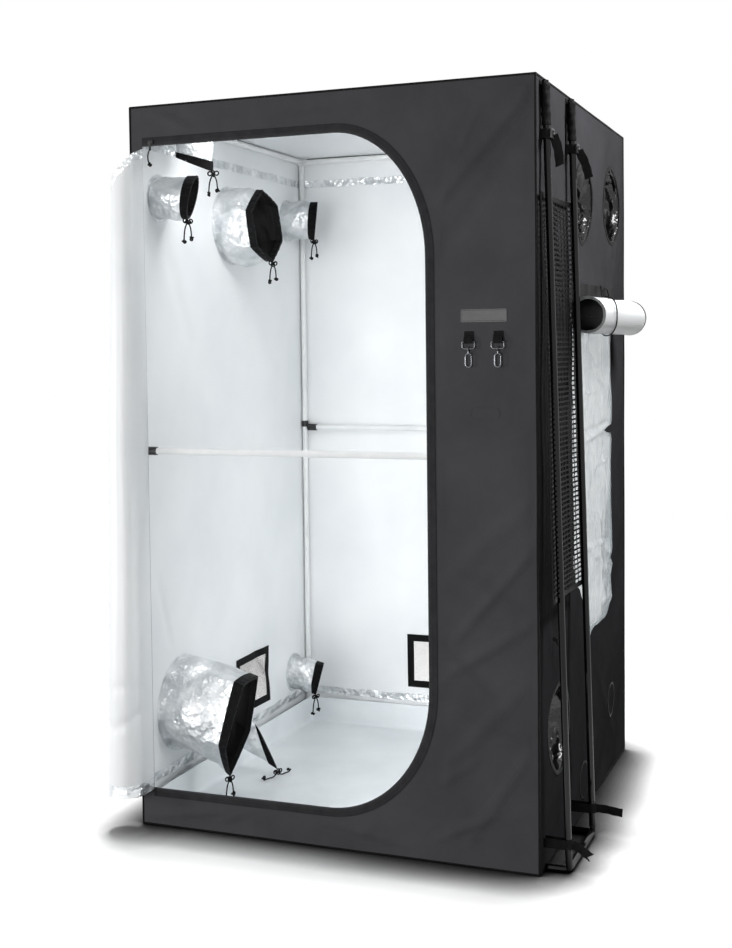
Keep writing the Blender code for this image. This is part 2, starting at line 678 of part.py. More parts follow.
def build_door_roll():
    """The door, rolled outwards and hanging from its seam at the left of the doorway.

    The roll narrows upwards, and its top edge falls away from the seam.
    """
    seam_x = DOOR_LEFT - ZIP_SET_BACK
    seam_y = -HALF_DEPTH - SEAM_GAP
    top = DOOR_TOP
    bottom = DOOR_BOTTOM_STRIP + DOOR_ROLL_LIFT
    tail = DOOR_ROLL_STANDOFF + DOOR_ROLL_RADIUS
    outline = wound_sheet(DOOR_ROLL_RADIUS, DOOR_ROLL_PITCH, DOOR_ROLL_TURNS, DOOR_ROLL_CLOTH, tail)
    at_seam = [(x - DOOR_ROLL_RADIUS, y - tail) for x, y in outline]
    mesh = flat("door_roll", [at_seam], top - bottom)
    narrowing = DOOR_ROLL_TOP_RADIUS / DOOR_ROLL_RADIUS
    for vertex in mesh.vertices:
        if vertex.co.z > 0:
            vertex.co.x *= narrowing
            vertex.co.y *= narrowing
    seam = bpy.data.objects.new("door_seam", None)
    seam.location = (seam_x, seam_y, (top + bottom) / 2)
    parts.objects.link(seam)
    roll = place("door_roll", mesh, WHITE_FILM, parent=seam)
    upward = Vector((-DOOR_TOP_FALL_SHARE[0], -DOOR_TOP_FALL_SHARE[1], 1.0)).normalized()
    block = DOOR_CUT_SHARE * DOOR_ROLL_RADIUS
    cutter = tool("door_top_cut", box("door_top_cut", (block, block, block)),
                  Vector((seam_x, seam_y, top)) + upward * block / 2, upward.to_track_quat("Z", "Y").to_euler())
    combine(roll, cutter, "DIFFERENCE")


def build_window():
    """The clear film behind the window hole, and the cover rolled up over it."""
    film_x = HALF_WIDTH - CLOTH - SEAM_GAP - FILM_THICKNESS / 2
    shape = rounded_rectangle(WINDOW_FRONT_Y - FILM_MARGIN, WINDOW_BOTTOM - FILM_MARGIN,
                              WINDOW_REAR_Y + FILM_MARGIN, WINDOW_TOP + FILM_MARGIN,
                              WINDOW_CORNER_RADIUS + FILM_MARGIN, WINDOW_CORNER_STEPS)
    place("window_film", flat("window_film", [shape], FILM_THICKNESS), CLEAR_FILM, (film_x, 0, 0), FACING_RIGHT)
    outline = wound_sheet(WINDOW_ROLL_RADIUS, WINDOW_ROLL_PITCH, WINDOW_ROLL_TURNS, WINDOW_ROLL_CLOTH,
                          WINDOW_HEADER_RISE)
    centre_x = HALF_WIDTH + SEAM_GAP + WINDOW_ROLL_RADIUS
    place("window_roll", flat("window_roll", [outline], WINDOW_ROLL_REAR_Y - WINDOW_ROLL_FRONT_Y), WHITE_FILM,
          (centre_x, (WINDOW_ROLL_FRONT_Y + WINDOW_ROLL_REAR_Y) / 2, WINDOW_TOP - WINDOW_ROLL_DROP),
          (math.radians(90.0), 0.0, math.radians(180.0)))


# Stations along a sleeve from its sewn edge: length share, radius share, fold share, droop share
SLEEVE_SHARES = (
    (0.00, 1.00, 0.00, 0.00),
    (0.22, 1.04, 0.02, 0.06),
    (0.48, 1.04, 0.05, 0.26),
    (0.74, 1.00, 0.05, 0.56),
    (0.86, 0.97, 0.03, 0.76),
    (1.00, 0.97, 0.02, 1.00),
)
SLEEVE_FOLDS = 5


def sleeve_mesh(name, radius, hang):
    """A soft sleeve along +Z from a flat sewn flange, drooping towards -Y, with shallow folds."""
    length, droop_share, down, aside, mouth_share, sides = hang
    droop = length * droop_share
    bm = bmesh.new()
    ring = bmesh.ops.create_circle(bm, cap_ends=False, segments=sides, radius=radius + SLEEVE_FLANGE)["verts"]
    angles = {vert: math.atan2(vert.co.y, vert.co.x) for vert in ring}
    for length_share, radius_share, fold_share, droop_share in SLEEVE_SHARES:
        edges = [edge for edge in bm.edges if all(vert in angles for vert in edge.verts)]
        grown = bmesh.ops.extrude_edge_only(bm, edges=edges)["geom"]
        turn = Matrix.Rotation(math.radians(aside) * droop_share, 3, "Y")
        turn = turn @ Matrix.Rotation(math.radians(down) * droop_share, 3, "X")
        widening = 1.0 + (mouth_share - 1.0) * length_share
        next_angles = {}
        for vert in [item for item in grown if isinstance(item, bmesh.types.BMVert)]:
            old = [edge.other_vert(vert) for edge in vert.link_edges if edge.other_vert(vert) in angles][0]
            next_angles[vert] = angles[old]
        for vert, angle in next_angles.items():
            fold = 1.0 + fold_share * math.sin(SLEEVE_FOLDS * angle + length_share * SLEEVE_FOLDS)
            across = radius * radius_share * widening * fold
            rim = turn @ Vector((across * math.cos(angle), across * math.sin(angle), 0))
            vert.co = rim + Vector((0, -droop * droop_share, length * length_share))
        angles = next_angles
    return mesh_from(bm, name)


def place_sleeve(name, location, rotation, radius, hang):
    """A sleeve as a part with its cloth thickness."""
    part = place(name, sleeve_mesh(name, radius, hang), MYLAR, location, rotation)
    solidify = part.modifiers.new("Cloth", "SOLIDIFY")
    solidify.thickness = SLEEVE_CLOTH
    solidify.offset = 0.0
    solidify.use_even_offset = True
    return part


# How each sleeve hangs: length, droop as a share of the length, how far its mouth turns down and
# aside in degrees, the width of its mouth as a share of its port, facets round it
SLEEVE_HANG = {
    "sleeve_left_upper_front": (SMALL_SLEEVE_LENGTH, 0.02, 14.0, 14.0, 1.00, 14),
    "sleeve_left_upper_middle": (MEDIUM_SLEEVE_LENGTH, 0.04, -4.0, 0.0, 0.90, 18),
    "sleeve_left_upper_rear": (SMALL_SLEEVE_LENGTH, 0.04, 6.0, 12.0, 0.95, 14),
    "sleeve_left_lower_front": (LARGE_SLEEVE_LENGTH, 0.25, 12.0, 7.0, 1.12, 18),
    "sleeve_left_lower_small": (CABLE_SLEEVE_LENGTH, 0.46, 36.0, 4.0, 0.90, 14),
    "sleeve_left_lower_rear": (FLOOR_SLEEVE_LENGTH, 0.14, 12.0, 8.0, 0.90, 14),
    "sleeve_right_upper_front": (MEDIUM_SLEEVE_LENGTH, 0.10, 8.0, 0.0, 0.92, 18),
    "sleeve_right_upper_rear": (MEDIUM_SLEEVE_LENGTH, 0.10, 8.0, 0.0, 0.92, 18),
    "sleeve_right_lower_front": (MEDIUM_SLEEVE_LENGTH, 0.12, 10.0, 0.0, 0.95, 18),
    "sleeve_roof": (ROOF_SLEEVE_LENGTH, 0.00, 0.0, -10.0, 1.00, 14),
}


def build_sleeves():
    """All duct sleeves, each sewn to the inside of its wall round its port."""
    inner_face = CLOTH + SEAM_GAP + SLEEVE_CLOTH / 2
    for name, radius in LEFT_PORT_RADIUS.items():
        y, z = port_centre(LEFT_PORT_SHARES[name])
        place_sleeve(name, (-HALF_WIDTH + inner_face, y, z), FACING_RIGHT, radius, SLEEVE_HANG[name])
    for name, radius in RIGHT_PORT_RADIUS.items():
        y, z = port_centre(RIGHT_PORT_SHARES[name])
        place_sleeve(name, (HALF_WIDTH - inner_face, y, z), FACING_LEFT, radius, SLEEVE_HANG[name])
    roof_place = (ROOF_PORT_SHARE[0] * HALF_WIDTH, ROOF_PORT_SHARE[1] * HALF_DEPTH, TENT_HEIGHT - inner_face)
    place_sleeve("sleeve_roof", roof_place, FACING_DOWN, CABLE_PORT_RADIUS, SLEEVE_HANG["sleeve_roof"])


def build_vent(name, location, rotation):
    """A square of coarse mesh in a webbing border, sewn to the inside of the wall."""
    half_width = VENT_WIDTH / 2
    half_height = VENT_HEIGHT / 2
    outlines = [rectangle(-half_width, -half_height, half_width, half_height)]
    open_width = (VENT_WIDTH - 2 * VENT_BORDER - VENT_STRAND * (VENT_COLUMNS - 1)) / VENT_COLUMNS
    open_height = (VENT_HEIGHT - 2 * VENT_BORDER - VENT_STRAND * (VENT_ROWS - 1)) / VENT_ROWS
    for column in range(VENT_COLUMNS):
        for row in range(VENT_ROWS):
            x = -half_width + VENT_BORDER + column * (open_width + VENT_STRAND)
            y = -half_height + VENT_BORDER + row * (open_height + VENT_STRAND)
            outlines.append(rectangle(x, y, x + open_width, y + open_height))
    return place(name, flat(name, outlines, VENT_THICKNESS), WEBBING_BLACK, location, rotation)


def build_tray():
    """The loose floor tray: one sheet with a folded-up rim."""
    half_x = POST_X - TUBE_RADIUS - TRAY_CLEARANCE
    half_y = POST_Y - TUBE_RADIUS - TRAY_CLEARANCE
    low = CLOTH + SEAM_GAP
    bm = bmesh.new()
    bmesh.ops.create_cube(bm, size=1.0, matrix=Matrix.Diagonal((2 * half_x, 2 * half_y, TRAY_UPSTAND, 1.0)))
    upright = [edge for edge in bm.edges if abs(edge.verts[0].co.z - edge.verts[1].co.z) > TRAY_CLEARANCE]
    bmesh.ops.bevel(bm, geom=upright, offset=TRAY_CORNER, segments=BEND_STEPS, affect="EDGES", profile=0.5)
    lid = [face for face in bm.faces if face.normal.z > math.cos(SHARP_EDGE)]
    bmesh.ops.delete(bm, geom=lid, context="FACES_ONLY")
    tray = place("floor_tray", mesh_from(bm, "floor_tray"), LINER, (0, 0, low + TRAY_UPSTAND / 2))
    wall = tray.modifiers.new("Sheet", "SOLIDIFY")
    wall.thickness = TRAY_SHEET
    wall.offset = -1.0
    wall.use_even_offset = True


RACK_LEAN = math.atan2(RACK_FOOT_OFFSET - RACK_TOP_OFFSET, RACK_TOP)
FOOT_X = HALF_WIDTH + RACK_FOOT_OFFSET


def rack_axis_x(height):
    """X of the leaning poles' axis at a height."""
    return FOOT_X - (height - TUBE_RADIUS) * math.tan(RACK_LEAN)


def add_foot_straps(wall):
    """Webbing loops sewn to the wall that hold the foot of each pole, with their free tails."""
    rings = (("front", RACK_FRONT_Y, FRONT_TAIL_LENGTH, FRONT_TAIL_DROOP),
             ("rear", RACK_REAR_Y, REAR_TAIL_LENGTH, 0.0))
    height = FOOT_STRAP_HEIGHT + WEBBING_WIDTH / 2
    bore = TUBE_RADIUS + POLE_CLEARANCE
    for end, y, tail_length, droop in rings:
        reach = rack_axis_x(height) - HALF_WIDTH
        outside = [(-PATCH_ROOT, -bore - WEBBING)]
        outside += arc((reach, 0), bore + WEBBING, -90.0, 90.0, STRAP_STEPS)
        outside.append((-PATCH_ROOT, bore + WEBBING))
        inside = [(WEBBING, -bore)]
        inside += arc((reach, 0), bore, -90.0, 90.0, STRAP_STEPS)
        inside.append((WEBBING, bore))
        loop = tool("foot_strap_" + end, flat("foot_strap", [outside, inside], WEBBING_WIDTH),
                    (HALF_WIDTH, y, height))
        combine(wall, loop, "UNION")
        fall = tail_length * math.sin(droop)
        run = tail_length * math.cos(droop)
        half = WEBBING_WIDTH / 2
        strip = [(0, -half), (run, -half - fall), (run, half - fall), (0, half)]
        tail = tool("foot_strap_tail_" + end, flat("foot_strap_tail", [strip], WEBBING),
                    (HALF_WIDTH + reach + bore + WEBBING / 2, y, height), UPRIGHT)
        combine(wall, tail, "UNION")


def build_rack():
    """Two leaning poles on a foot frame, the slotted net between them, and the sewn pole pockets."""
    lean_frame = bpy.data.objects.new("rack_lean", None)
    lean_frame.location = (FOOT_X, 0, TUBE_RADIUS)
    lean_frame.rotation_euler = (0.0, -RACK_LEAN, 0.0)
    parts.objects.link(lean_frame)
    along = 1.0 / math.cos(RACK_LEAN)
    start = TUBE_RADIUS + RACK_SEAT
    end = (RACK_TOP - TUBE_RADIUS) * along
    for end_name, y in (("front", RACK_FRONT_Y), ("rear", RACK_REAR_Y)):
        place_tube("rack_pole_" + end_name, end - start, BLACK_STEEL, (0, y, (start + end) / 2),
                   parent=lean_frame)

    net_width = RACK_REAR_Y - RACK_FRONT_Y + NET_FRONT_OVERHANG + NET_REAR_OVERHANG
    net_middle = (RACK_REAR_Y + NET_REAR_OVERHANG + RACK_FRONT_Y - NET_FRONT_OVERHANG) / 2
    net_height = (NET_TOP - NET_BOTTOM) * along
    inward = TUBE_RADIUS + SEAM_GAP + NET_THICKNESS / 2
    place("rack_net", net_mesh(net_width, net_height), NET_BLACK,
          (-inward, net_middle, (NET_BOTTOM - TUBE_RADIUS) * along + net_height / 2), FACING_RIGHT, lean_frame)

    build_foot_frame(lean_frame)
    for end_name, y in (("front", RACK_FRONT_Y), ("rear", RACK_REAR_Y)):
        build_pole_pocket("pole_pocket_" + end_name, y, lean_frame)


def net_mesh(width, height):
    """A flat net with rows of slots."""
    outlines = [rectangle(-width / 2, -height / 2, width / 2, height / 2)]
    open_width = (width - 2 * NET_BORDER - NET_STRAND * (NET_COLUMNS - 1)) / NET_COLUMNS
    open_height = (height - 2 * NET_BORDER - NET_STRAND * (NET_ROWS - 1)) / NET_ROWS
    for column in range(NET_COLUMNS):
        for row in range(NET_ROWS):
            x = -width / 2 + NET_BORDER + column * (open_width + NET_STRAND)
            y = -height / 2 + NET_BORDER + row * (open_height + NET_STRAND)
            outlines.append(rectangle(x, y, x + open_width, y + open_height))
    return flat("rack_net", outlines, NET_THICKNESS)


def build_foot_frame(lean_frame):
    """A U of tube on the floor against the wall, with a stub inside each pole."""
    wall_x = HALF_WIDTH + FOOT_WALL_GAP
    points = [(wall_x, RACK_FRONT_Y)]
    points += arc((FOOT_X - FOOT_BEND, RACK_FRONT_Y + FOOT_BEND), FOOT_BEND, -90.0, 0.0, BEND_STEPS)
    points += arc((FOOT_X - FOOT_BEND, RACK_REAR_Y - FOOT_BEND), FOOT_BEND, 0.0, 90.0, BEND_STEPS)
    points.append((wall_x, RACK_REAR_Y))
    foot = place("foot_frame", wire("foot_frame", [(x, y, 0.0) for x, y in points], TUBE_RADIUS), BLACK_STEEL,
                 (0, 0, TUBE_RADIUS))
    stub_radius = TUBE_RADIUS - TUBE_WALL - STUB_CLEARANCE
    stub_length = TUBE_RADIUS + RACK_SEAT + STUB_LENGTH
    for end_name, y in (("front", RACK_FRONT_Y), ("rear", RACK_REAR_Y)):
        stub = tool("pole_stub_" + end_name, rod("pole_stub", stub_radius, stub_length, HUB_SIDES),
                    (0, y, stub_length / 2), parent=lean_frame)
        combine(foot, stub, "UNION")


def build_pole_pocket(name, y, lean_frame):
    """A sewn pocket over the pole's top, a strap round the pole below it, and the strap's buckle and tail.

    The backing strip is sewn to the upright wall and thickens downwards as the pole leans away.
    """
    bore = TUBE_RADIUS + POLE_CLEARANCE
    width = 2 * (bore + POCKET_WALL)
    inner = HALF_WIDTH + SEAM_GAP
    top = RACK_TOP + POCKET_WALL + POLE_CLEARANCE
    strap_z = RACK_TOP - TOP_STRAP_DROP
    foot = strap_z - WEBBING_WIDTH / 2
    backing = [(inner, foot), (inner + BACKING_FOOT, foot), (inner + BACKING_TOP, top), (inner, top)]
    pocket = place(name, flat(name, [backing], width - POCKET_CORNER), WEBBING_BLACK, (0, y, 0), UPRIGHT)

    along = 1.0 / math.cos(RACK_LEAN)
    lean_top = (top - TUBE_RADIUS) * along
    sleeve = tool(name + "_sleeve", box("pocket_sleeve", (width, width, POCKET_LENGTH), POCKET_CORNER / 2),
                  (0, y, lean_top - POCKET_LENGTH / 2), parent=lean_frame)
    combine(pocket, sleeve, "UNION")
    lean_strap = (strap_z - TUBE_RADIUS) * along
    strap = tool(name + "_strap", box("pocket_strap", (width + WEBBING, width + WEBBING, WEBBING_WIDTH),
                                      POCKET_CORNER / 4), (0, y, lean_strap), parent=lean_frame)
    combine(pocket, strap, "UNION")
    buckle_x = bore + POCKET_WALL + WEBBING
    buckle = tool(name + "_buckle", box("pocket_buckle", (BUCKLE_THICKNESS, BUCKLE_WIDTH, BUCKLE_HEIGHT),
                                        POCKET_CORNER / 4), (buckle_x, y, lean_strap), parent=lean_frame)
    combine(pocket, buckle, "UNION")
    half = WEBBING_WIDTH / 2
    run = TOP_TAIL_LENGTH * math.sin(TOP_TAIL_TILT)
    fall = TOP_TAIL_LENGTH * math.cos(TOP_TAIL_TILT)
    strip = [(-half, 0), (half, 0), (half + run, -fall), (run, -fall)]
    tail = tool(name + "_tail", flat("pocket_tail", [strip], WEBBING), (buckle_x, y + half / 2, lean_strap),
                FACING_RIGHT, lean_frame)
    combine(pocket, tail, "UNION")
    bore_length = TOP_STRAP_DROP + WEBBING_WIDTH + OVERRUN
    bore_top = (RACK_TOP - TUBE_RADIUS) * along + POLE_CLEARANCE
    cut = tool(name + "_bore", rod("pocket_bore", bore, bore_length),
               (0, y, bore_top - bore_length / 2), parent=lean_frame)
    combine(pocket, cut, "DIFFERENCE")


def d_ring_points():
    """Centre line of a D-ring in its own plane, its straight bar along x at the origin."""
    half = RING_WIDTH / 2
    corner = RING_DEPTH * RING_CORNER_SHARE
    points = [(-half, 0.0), (half, 0.0)]
    points += arc((half - corner, -RING_DEPTH + corner), corner, 0.0, -90.0, CORNER_STEPS)
    points += arc((-half + corner, -RING_DEPTH + corner), corner, -90.0, -180.0, CORNER_STEPS)
    return points


def build_hook(number, x):
    """A D-ring in its webbing tab, a snap hook hanging on the ring, and the hook's sprung gate."""
    y = ring_bar_y()
    ring_points = [(px, 0.0, pz) for px, pz in d_ring_points()]
    place("d_ring_" + str(number), wire("d_ring", ring_points, RING_WIRE, closed=True), NICKEL,
          (x, y, RING_BAR_HEIGHT))
    ring_bottom = RING_BAR_HEIGHT - RING_DEPTH
    inner = EYE_RADIUS - EYE_WIRE
    eye_drop = inner - RING_WIRE - RING_CLEARANCE
    eye_bottom = -eye_drop - EYE_RADIUS
    eye = [(0.0, py, pz - eye_drop) for py, pz in circle((0, 0), EYE_RADIUS, EYE_STEPS)]
    hook = place("snap_hook_" + str(number), wire("snap_hook", eye, EYE_WIRE, closed=True), NICKEL,
                 (x, y, ring_bottom))
    neck_low = eye_bottom - HOOK_NECK
    neck = tool("hook_neck_" + str(number), rod("hook_neck", HOOK_WIRE, HOOK_NECK, WIRE_SIDES),
                (x, y, ring_bottom + neck_low + HOOK_NECK / 2))
    combine(hook, neck, "UNION")
    half = HOOK_WIDTH / 2
    gate_top = neck_low - half + GATE_GAP
    bend_low = neck_low - HOOK_LENGTH + half
    body = arc((0, neck_low - half), half, HOOK_NOSE_START, 180.0, HOOK_STEPS)
    body += arc((0, bend_low), half, 180.0, 360.0, HOOK_STEPS)
    frame = tool("hook_body_" + str(number), wire("hook_body", [(px, 0.0, pz) for px, pz in body], HOOK_WIRE),
                 (x, y, ring_bottom))
    combine(hook, frame, "UNION")
    gate_bottom = bend_low + GATE_GAP
    gate_length = gate_top - gate_bottom
    pivot = bpy.data.objects.new("gate_pivot_" + str(number), None)
    pivot.location = (x + half, y, ring_bottom + gate_bottom)
    parts.objects.link(pivot)
    place("hook_gate_" + str(number), rod("hook_gate", GATE_WIRE, gate_length, WIRE_SIDES), NICKEL,
          (0, 0, gate_length / 2), parent=pivot)


build_frame()
build_hanging_bar("front_hanging_bar", FRONT_HANGING_BAR_Y)
build_hanging_bar("rear_hanging_bar", REAR_HANGING_BAR_Y)
build_mid_bar("front_mid_bar", -POST_Y, MID_BAR_HEIGHT, -BAR_ABOVE_CLIP)
build_mid_bar("rear_mid_bar", POST_Y, MID_BAR_HEIGHT, BAR_ABOVE_CLIP)
build_front_panel()
build_walls()
build_zip()
build_door_roll()
build_window()
build_sleeves()
vent_face = CLOTH + SEAM_GAP + VENT_THICKNESS / 2
left_vent_y, left_vent_z = port_centre(LEFT_VENT_SHARE)
build_vent("vent_left", (-HALF_WIDTH + vent_face, left_vent_y, left_vent_z), FACING_RIGHT)
build_vent("vent_rear", (BACK_VENT_SHARE[0] * HALF_WIDTH, HALF_DEPTH - vent_face,
                         BACK_VENT_SHARE[1] * TENT_HEIGHT), UPRIGHT)
build_tray()
build_rack()
for hook_number, hook_x in enumerate(HOOK_ROW_X, start=1):
    build_hook(hook_number, hook_x)

bpy.context.view_layer.update()
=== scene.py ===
# %% [markdown]
# # An indoor grow tent
# A steel tube frame wears a cover of charcoal cloth that is white inside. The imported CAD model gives
# every size and place, so it is loaded first, and each soft or detailed piece is then built over it.

# %% Load the frame
import math

import bpy
import numpy as np
from mathutils import Euler, Matrix, Vector


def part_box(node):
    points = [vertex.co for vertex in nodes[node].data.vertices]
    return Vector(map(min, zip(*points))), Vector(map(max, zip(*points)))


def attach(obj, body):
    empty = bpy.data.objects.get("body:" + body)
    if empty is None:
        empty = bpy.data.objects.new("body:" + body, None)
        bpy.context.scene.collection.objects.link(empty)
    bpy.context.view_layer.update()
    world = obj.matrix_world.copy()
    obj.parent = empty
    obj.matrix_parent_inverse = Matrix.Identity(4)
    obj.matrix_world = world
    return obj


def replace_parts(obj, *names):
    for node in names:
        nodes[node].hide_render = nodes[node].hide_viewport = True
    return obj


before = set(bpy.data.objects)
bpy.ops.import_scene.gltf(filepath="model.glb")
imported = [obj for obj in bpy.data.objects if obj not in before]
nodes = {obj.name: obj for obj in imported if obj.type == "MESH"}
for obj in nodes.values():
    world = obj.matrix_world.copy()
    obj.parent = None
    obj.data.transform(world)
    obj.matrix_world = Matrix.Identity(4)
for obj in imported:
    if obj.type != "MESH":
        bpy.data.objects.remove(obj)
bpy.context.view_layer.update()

# %% [markdown]
# The camera comes first, because every comparison with the photograph depends on it. It stands to the
# right of the doorway at chest height, and looks almost level. The lens was worked out from the frame's
# straight edges, and the small vertical shift keeps the uprights upright, as in the photograph.

# %% Camera
PICTURE_HEIGHT = 948
FOCAL_PIXELS = 1352.166
EYE = Vector((1.462, -4.027, 1.402))
AZIMUTH, ELEVATION, TILT = math.radians(21.35), math.radians(2.72), math.radians(-0.66)
HORIZON_PIXEL = 411.173
SENSOR = 36.0

back = Vector((math.sin(AZIMUTH) * math.cos(ELEVATION), -math.cos(AZIMUTH) * math.cos(ELEVATION),
               math.sin(ELEVATION)))
level = Vector((math.cos(AZIMUTH), math.sin(AZIMUTH), 0.0))
upward = back.cross(level)
across = math.cos(TILT) * level + math.sin(TILT) * upward
upright = -math.sin(TILT) * level + math.cos(TILT) * upward

bpy.ops.object.camera_add()
camera = bpy.context.object
camera.name = "camera"
camera.matrix_world = Matrix.Translation(EYE) @ Matrix((across, upright, back)).transposed().to_4x4()
camera.data.sensor_width = SENSOR
camera.data.lens = FOCAL_PIXELS / PICTURE_HEIGHT * SENSOR
camera.data.shift_y = (HORIZON_PIXEL - PICTURE_HEIGHT / 2) / PICTURE_HEIGHT
camera.data.clip_end = 100.0
bpy.context.scene.camera = camera
bpy.context.scene.view_settings.view_transform = "Standard"
print("lens", round(camera.data.lens, 2), "mm")

# %% [markdown]
# Materials are built from a few words that are said again and again: a colour, a node, a pattern. Colours
# are written as on a paint card, and turned to the linear numbers that a shader works with. Patterns read
# Object coordinates in metres, so a grain of one millimetre is one millimetre on every piece.

# %% Colours and nodes
def linear(code):
    """A colour from a paint card, as the linear numbers that a shader wants."""
    parts = [int(code[place:place + 2], 16) / 255 for place in (1, 3, 5)]
    return [part / 12.92 if part <= 0.04045 else ((part + 0.055) / 1.055) ** 2.4 for part in parts] + [1.0]


def add_node(tree, kind, inputs=None, **settings):
    """One node with its settings; an input is a value, or another node's output."""
    node = tree.nodes.new("ShaderNode" + kind)
    for name, value in settings.items():
        setattr(node, name, value)
    for name, value in (inputs or {}).items():
        if isinstance(value, bpy.types.NodeSocket):
            tree.links.new(value, node.inputs[name])
        else:
            node.inputs[name].default_value = value
    return node


def per_mm(size):
    """The Scale of a noise or cell pattern whose grains are that many millimetres wide."""
    return 1000.0 / size


def bands_mm(size):
    """The Scale of a wave pattern whose bands repeat at that many millimetres."""
    return 1000.0 * math.pi / 10.0 / size


def added(tree, total, *others):
    """The sum of some patterns."""
    for other in others:
        total = add_node(tree, "Math", {0: total, 1: other}, operation="ADD").outputs[0]
    return total


def noise_of(tree, place, size, detail=3.0, roughness=0.5):
    """Cloudy noise whose grains are that many millimetres."""
    return add_node(tree, "TexNoise", {"Vector": place, "Scale": per_mm(size), "Detail": detail,
                                       "Roughness": roughness}).outputs["Fac"]


def crossed_bands(tree, place, size):
    """Threads along all three axes, so that a wall in any plane shows two that cross."""
    return added(tree, *[add_node(tree, "TexWave", {"Vector": place, "Scale": bands_mm(size)},
                                  wave_type="BANDS", bands_direction=axis).outputs["Fac"] for axis in "XYZ"])


def crumpled_cells(tree, place, size):
    """Cones that meet in sharp lines, with two finer layers on them: foil that was crushed."""
    return add_node(tree, "TexVoronoi", {"Vector": place, "Scale": per_mm(size), "Detail": 2.0,
                                         "Roughness": 0.6}).outputs["Distance"]


def new_finish(name, code, roughness, **more):
    """A material with its plain values on the shader's own sockets."""
    material = bpy.data.materials.new(name)
    material.use_nodes = True
    tree = material.node_tree
    shader = tree.nodes["Principled BSDF"]
    values = {"Base Color": linear(code), "Roughness": roughness}
    values.update({key.replace("_", " "): value for key, value in more.items()})
    for key, value in values.items():
        shader.inputs[key].default_value = value
    return material, tree, shader, add_node(tree, "TexCoord").outputs["Object"]


def finish(name, code, roughness, tones, clouds, depth, *patterns, **more):
    """A finish whose colour wanders between two near tones in clouds, with a bump of that depth in metres.
    Clouds and patterns are rows, each a kind of pattern and its numbers."""
    material, tree, shader, place = new_finish(name, code, roughness, **more)
    cloud, *heights = [kind(tree, place, *numbers) for kind, *numbers in (clouds, *patterns)]
    share = add_node(tree, "MapRange", {"Value": cloud, "From Min": 0.3, "From Max": 0.7}).outputs["Result"]
    mix = add_node(tree, "Mix", {0: share, 6: linear(tones[0]), 7: linear(tones[1])}, data_type="RGBA")
    tree.links.new(mix.outputs[2], shader.inputs["Base Color"])
    bump = add_node(tree, "Bump", {"Height": added(tree, *heights), "Distance": depth})
    tree.links.new(bump.outputs["Normal"], shader.inputs["Normal"])
    return material


# %% [markdown]
# The frame is steel tube, powder coated in white for the tent and in black for the rack outside. A coat
# that melts in an oven leaves a faint orange-peel ripple of 2 to 3 mm and a soft gloss. Fittings are moulded
# nylon, with the fine pebble that the mould leaves.

# %% Hard finishes
white_steel = finish("white_powder_coated_steel", "#F1F2F2", 0.34, ("#F3F4F4", "#E9EBEC"), (noise_of, 60.0),
                     0.00012, (noise_of, 2.5))
black_steel = finish("black_powder_coated_steel", "#070708", 0.09, ("#060607", "#0D0D0E"), (noise_of, 45.0),
                     0.00003, (noise_of, 2.5), Specular_IOR_Level=0.28)
black_nylon = finish("black_moulded_nylon", "#1B1C1D", 0.42, ("#17181A", "#222324"), (noise_of, 18.0),
                     0.00010, (noise_of, 0.9, 2.0))
white_nylon = finish("white_moulded_nylon", "#EDEEEE", 0.42, ("#F0F1F1", "#E4E6E6"), (noise_of, 18.0),
                     0.00010, (noise_of, 0.9, 2.0))
dark_nickel = finish("dark_nickel_plate", "#606164", 0.30, ("#57585B", "#6E6F73"), (noise_of, 6.0),
                     0.00006, (noise_of, 1.2), Metallic=1.0)
print("hard finishes ready")

# %% [markdown]
# The cover is oxford cloth, a plain weave of thick polyester thread with a coat on the back. It is nearly
# black, and matt even where the eye glances along it. Its threads are half a millimetre apart, too fine to
# show from here, so they are drawn at 1.8 mm, and broad soft clouds break up the colour.

# %% Cloth finishes
oxford = finish("charcoal_oxford_cloth", "#424244", 0.60, ("#434345", "#4C4C4F"), (noise_of, 220.0, 5.0, 0.6),
                0.00018, (crossed_bands, 1.8), (noise_of, 9.0), Specular_IOR_Level=0.0)
lining = finish("white_reflective_lining", "#F4F6F7", 0.38, ("#F5F7F8", "#ECEFF1"), (noise_of, 300.0),
                0.00012, (crossed_bands, 6.0), (noise_of, 40.0))
liner = finish("white_floor_liner", "#EEF2F4", 0.30, ("#F0F4F6", "#E5EAED"), (noise_of, 180.0),
               0.0006, (noise_of, 30.0), (noise_of, 5.0), Coat_Weight=0.2)
webbing = finish("black_polyester_webbing", "#0B0B0C", 0.55, ("#0B0B0C", "#151516"), (noise_of, 12.0),
                 0.0004, (crossed_bands, 2.4), Specular_IOR_Level=0.08)
net_finish = finish("black_slotted_net", "#0A0A0B", 0.50, ("#0A0A0B", "#141415"), (noise_of, 10.0),
                    0.0003, (crossed_bands, 2.0), Specular_IOR_Level=0.08)
zip_cloth = finish("charcoal_zip_tape", "#262628", 0.60, ("#2B2B2D", "#343436"), (noise_of, 30.0),
                   0.0003, (crossed_bands, 2.0), Specular_IOR_Level=0.05)
black_lining = finish("black_coated_lining", "#040405", 0.60, ("#030304", "#060607"), (noise_of, 25.0),
                      0.0008, (noise_of, 14.0, 5.0, 0.6), Specular_IOR_Level=0.10)
glossy_lining = finish("black_glossy_crinkled_lining", "#080809", 0.20, ("#050506", "#101011"),
                       (noise_of, 25.0), 0.0120, (noise_of, 42.0, 2.5))
print("cloth finishes ready")

# %% [markdown]
# The duct sleeves are cloth with a thin skin of aluminium. It keeps each fold that it ever had, as flat
# facets with sharp creases between them. The large facets are modelled. The small ones are a bump: cells
# about 58 mm wide with finer ones on them, and a soft noise of 30 mm. Window film is clear vinyl gone milky.

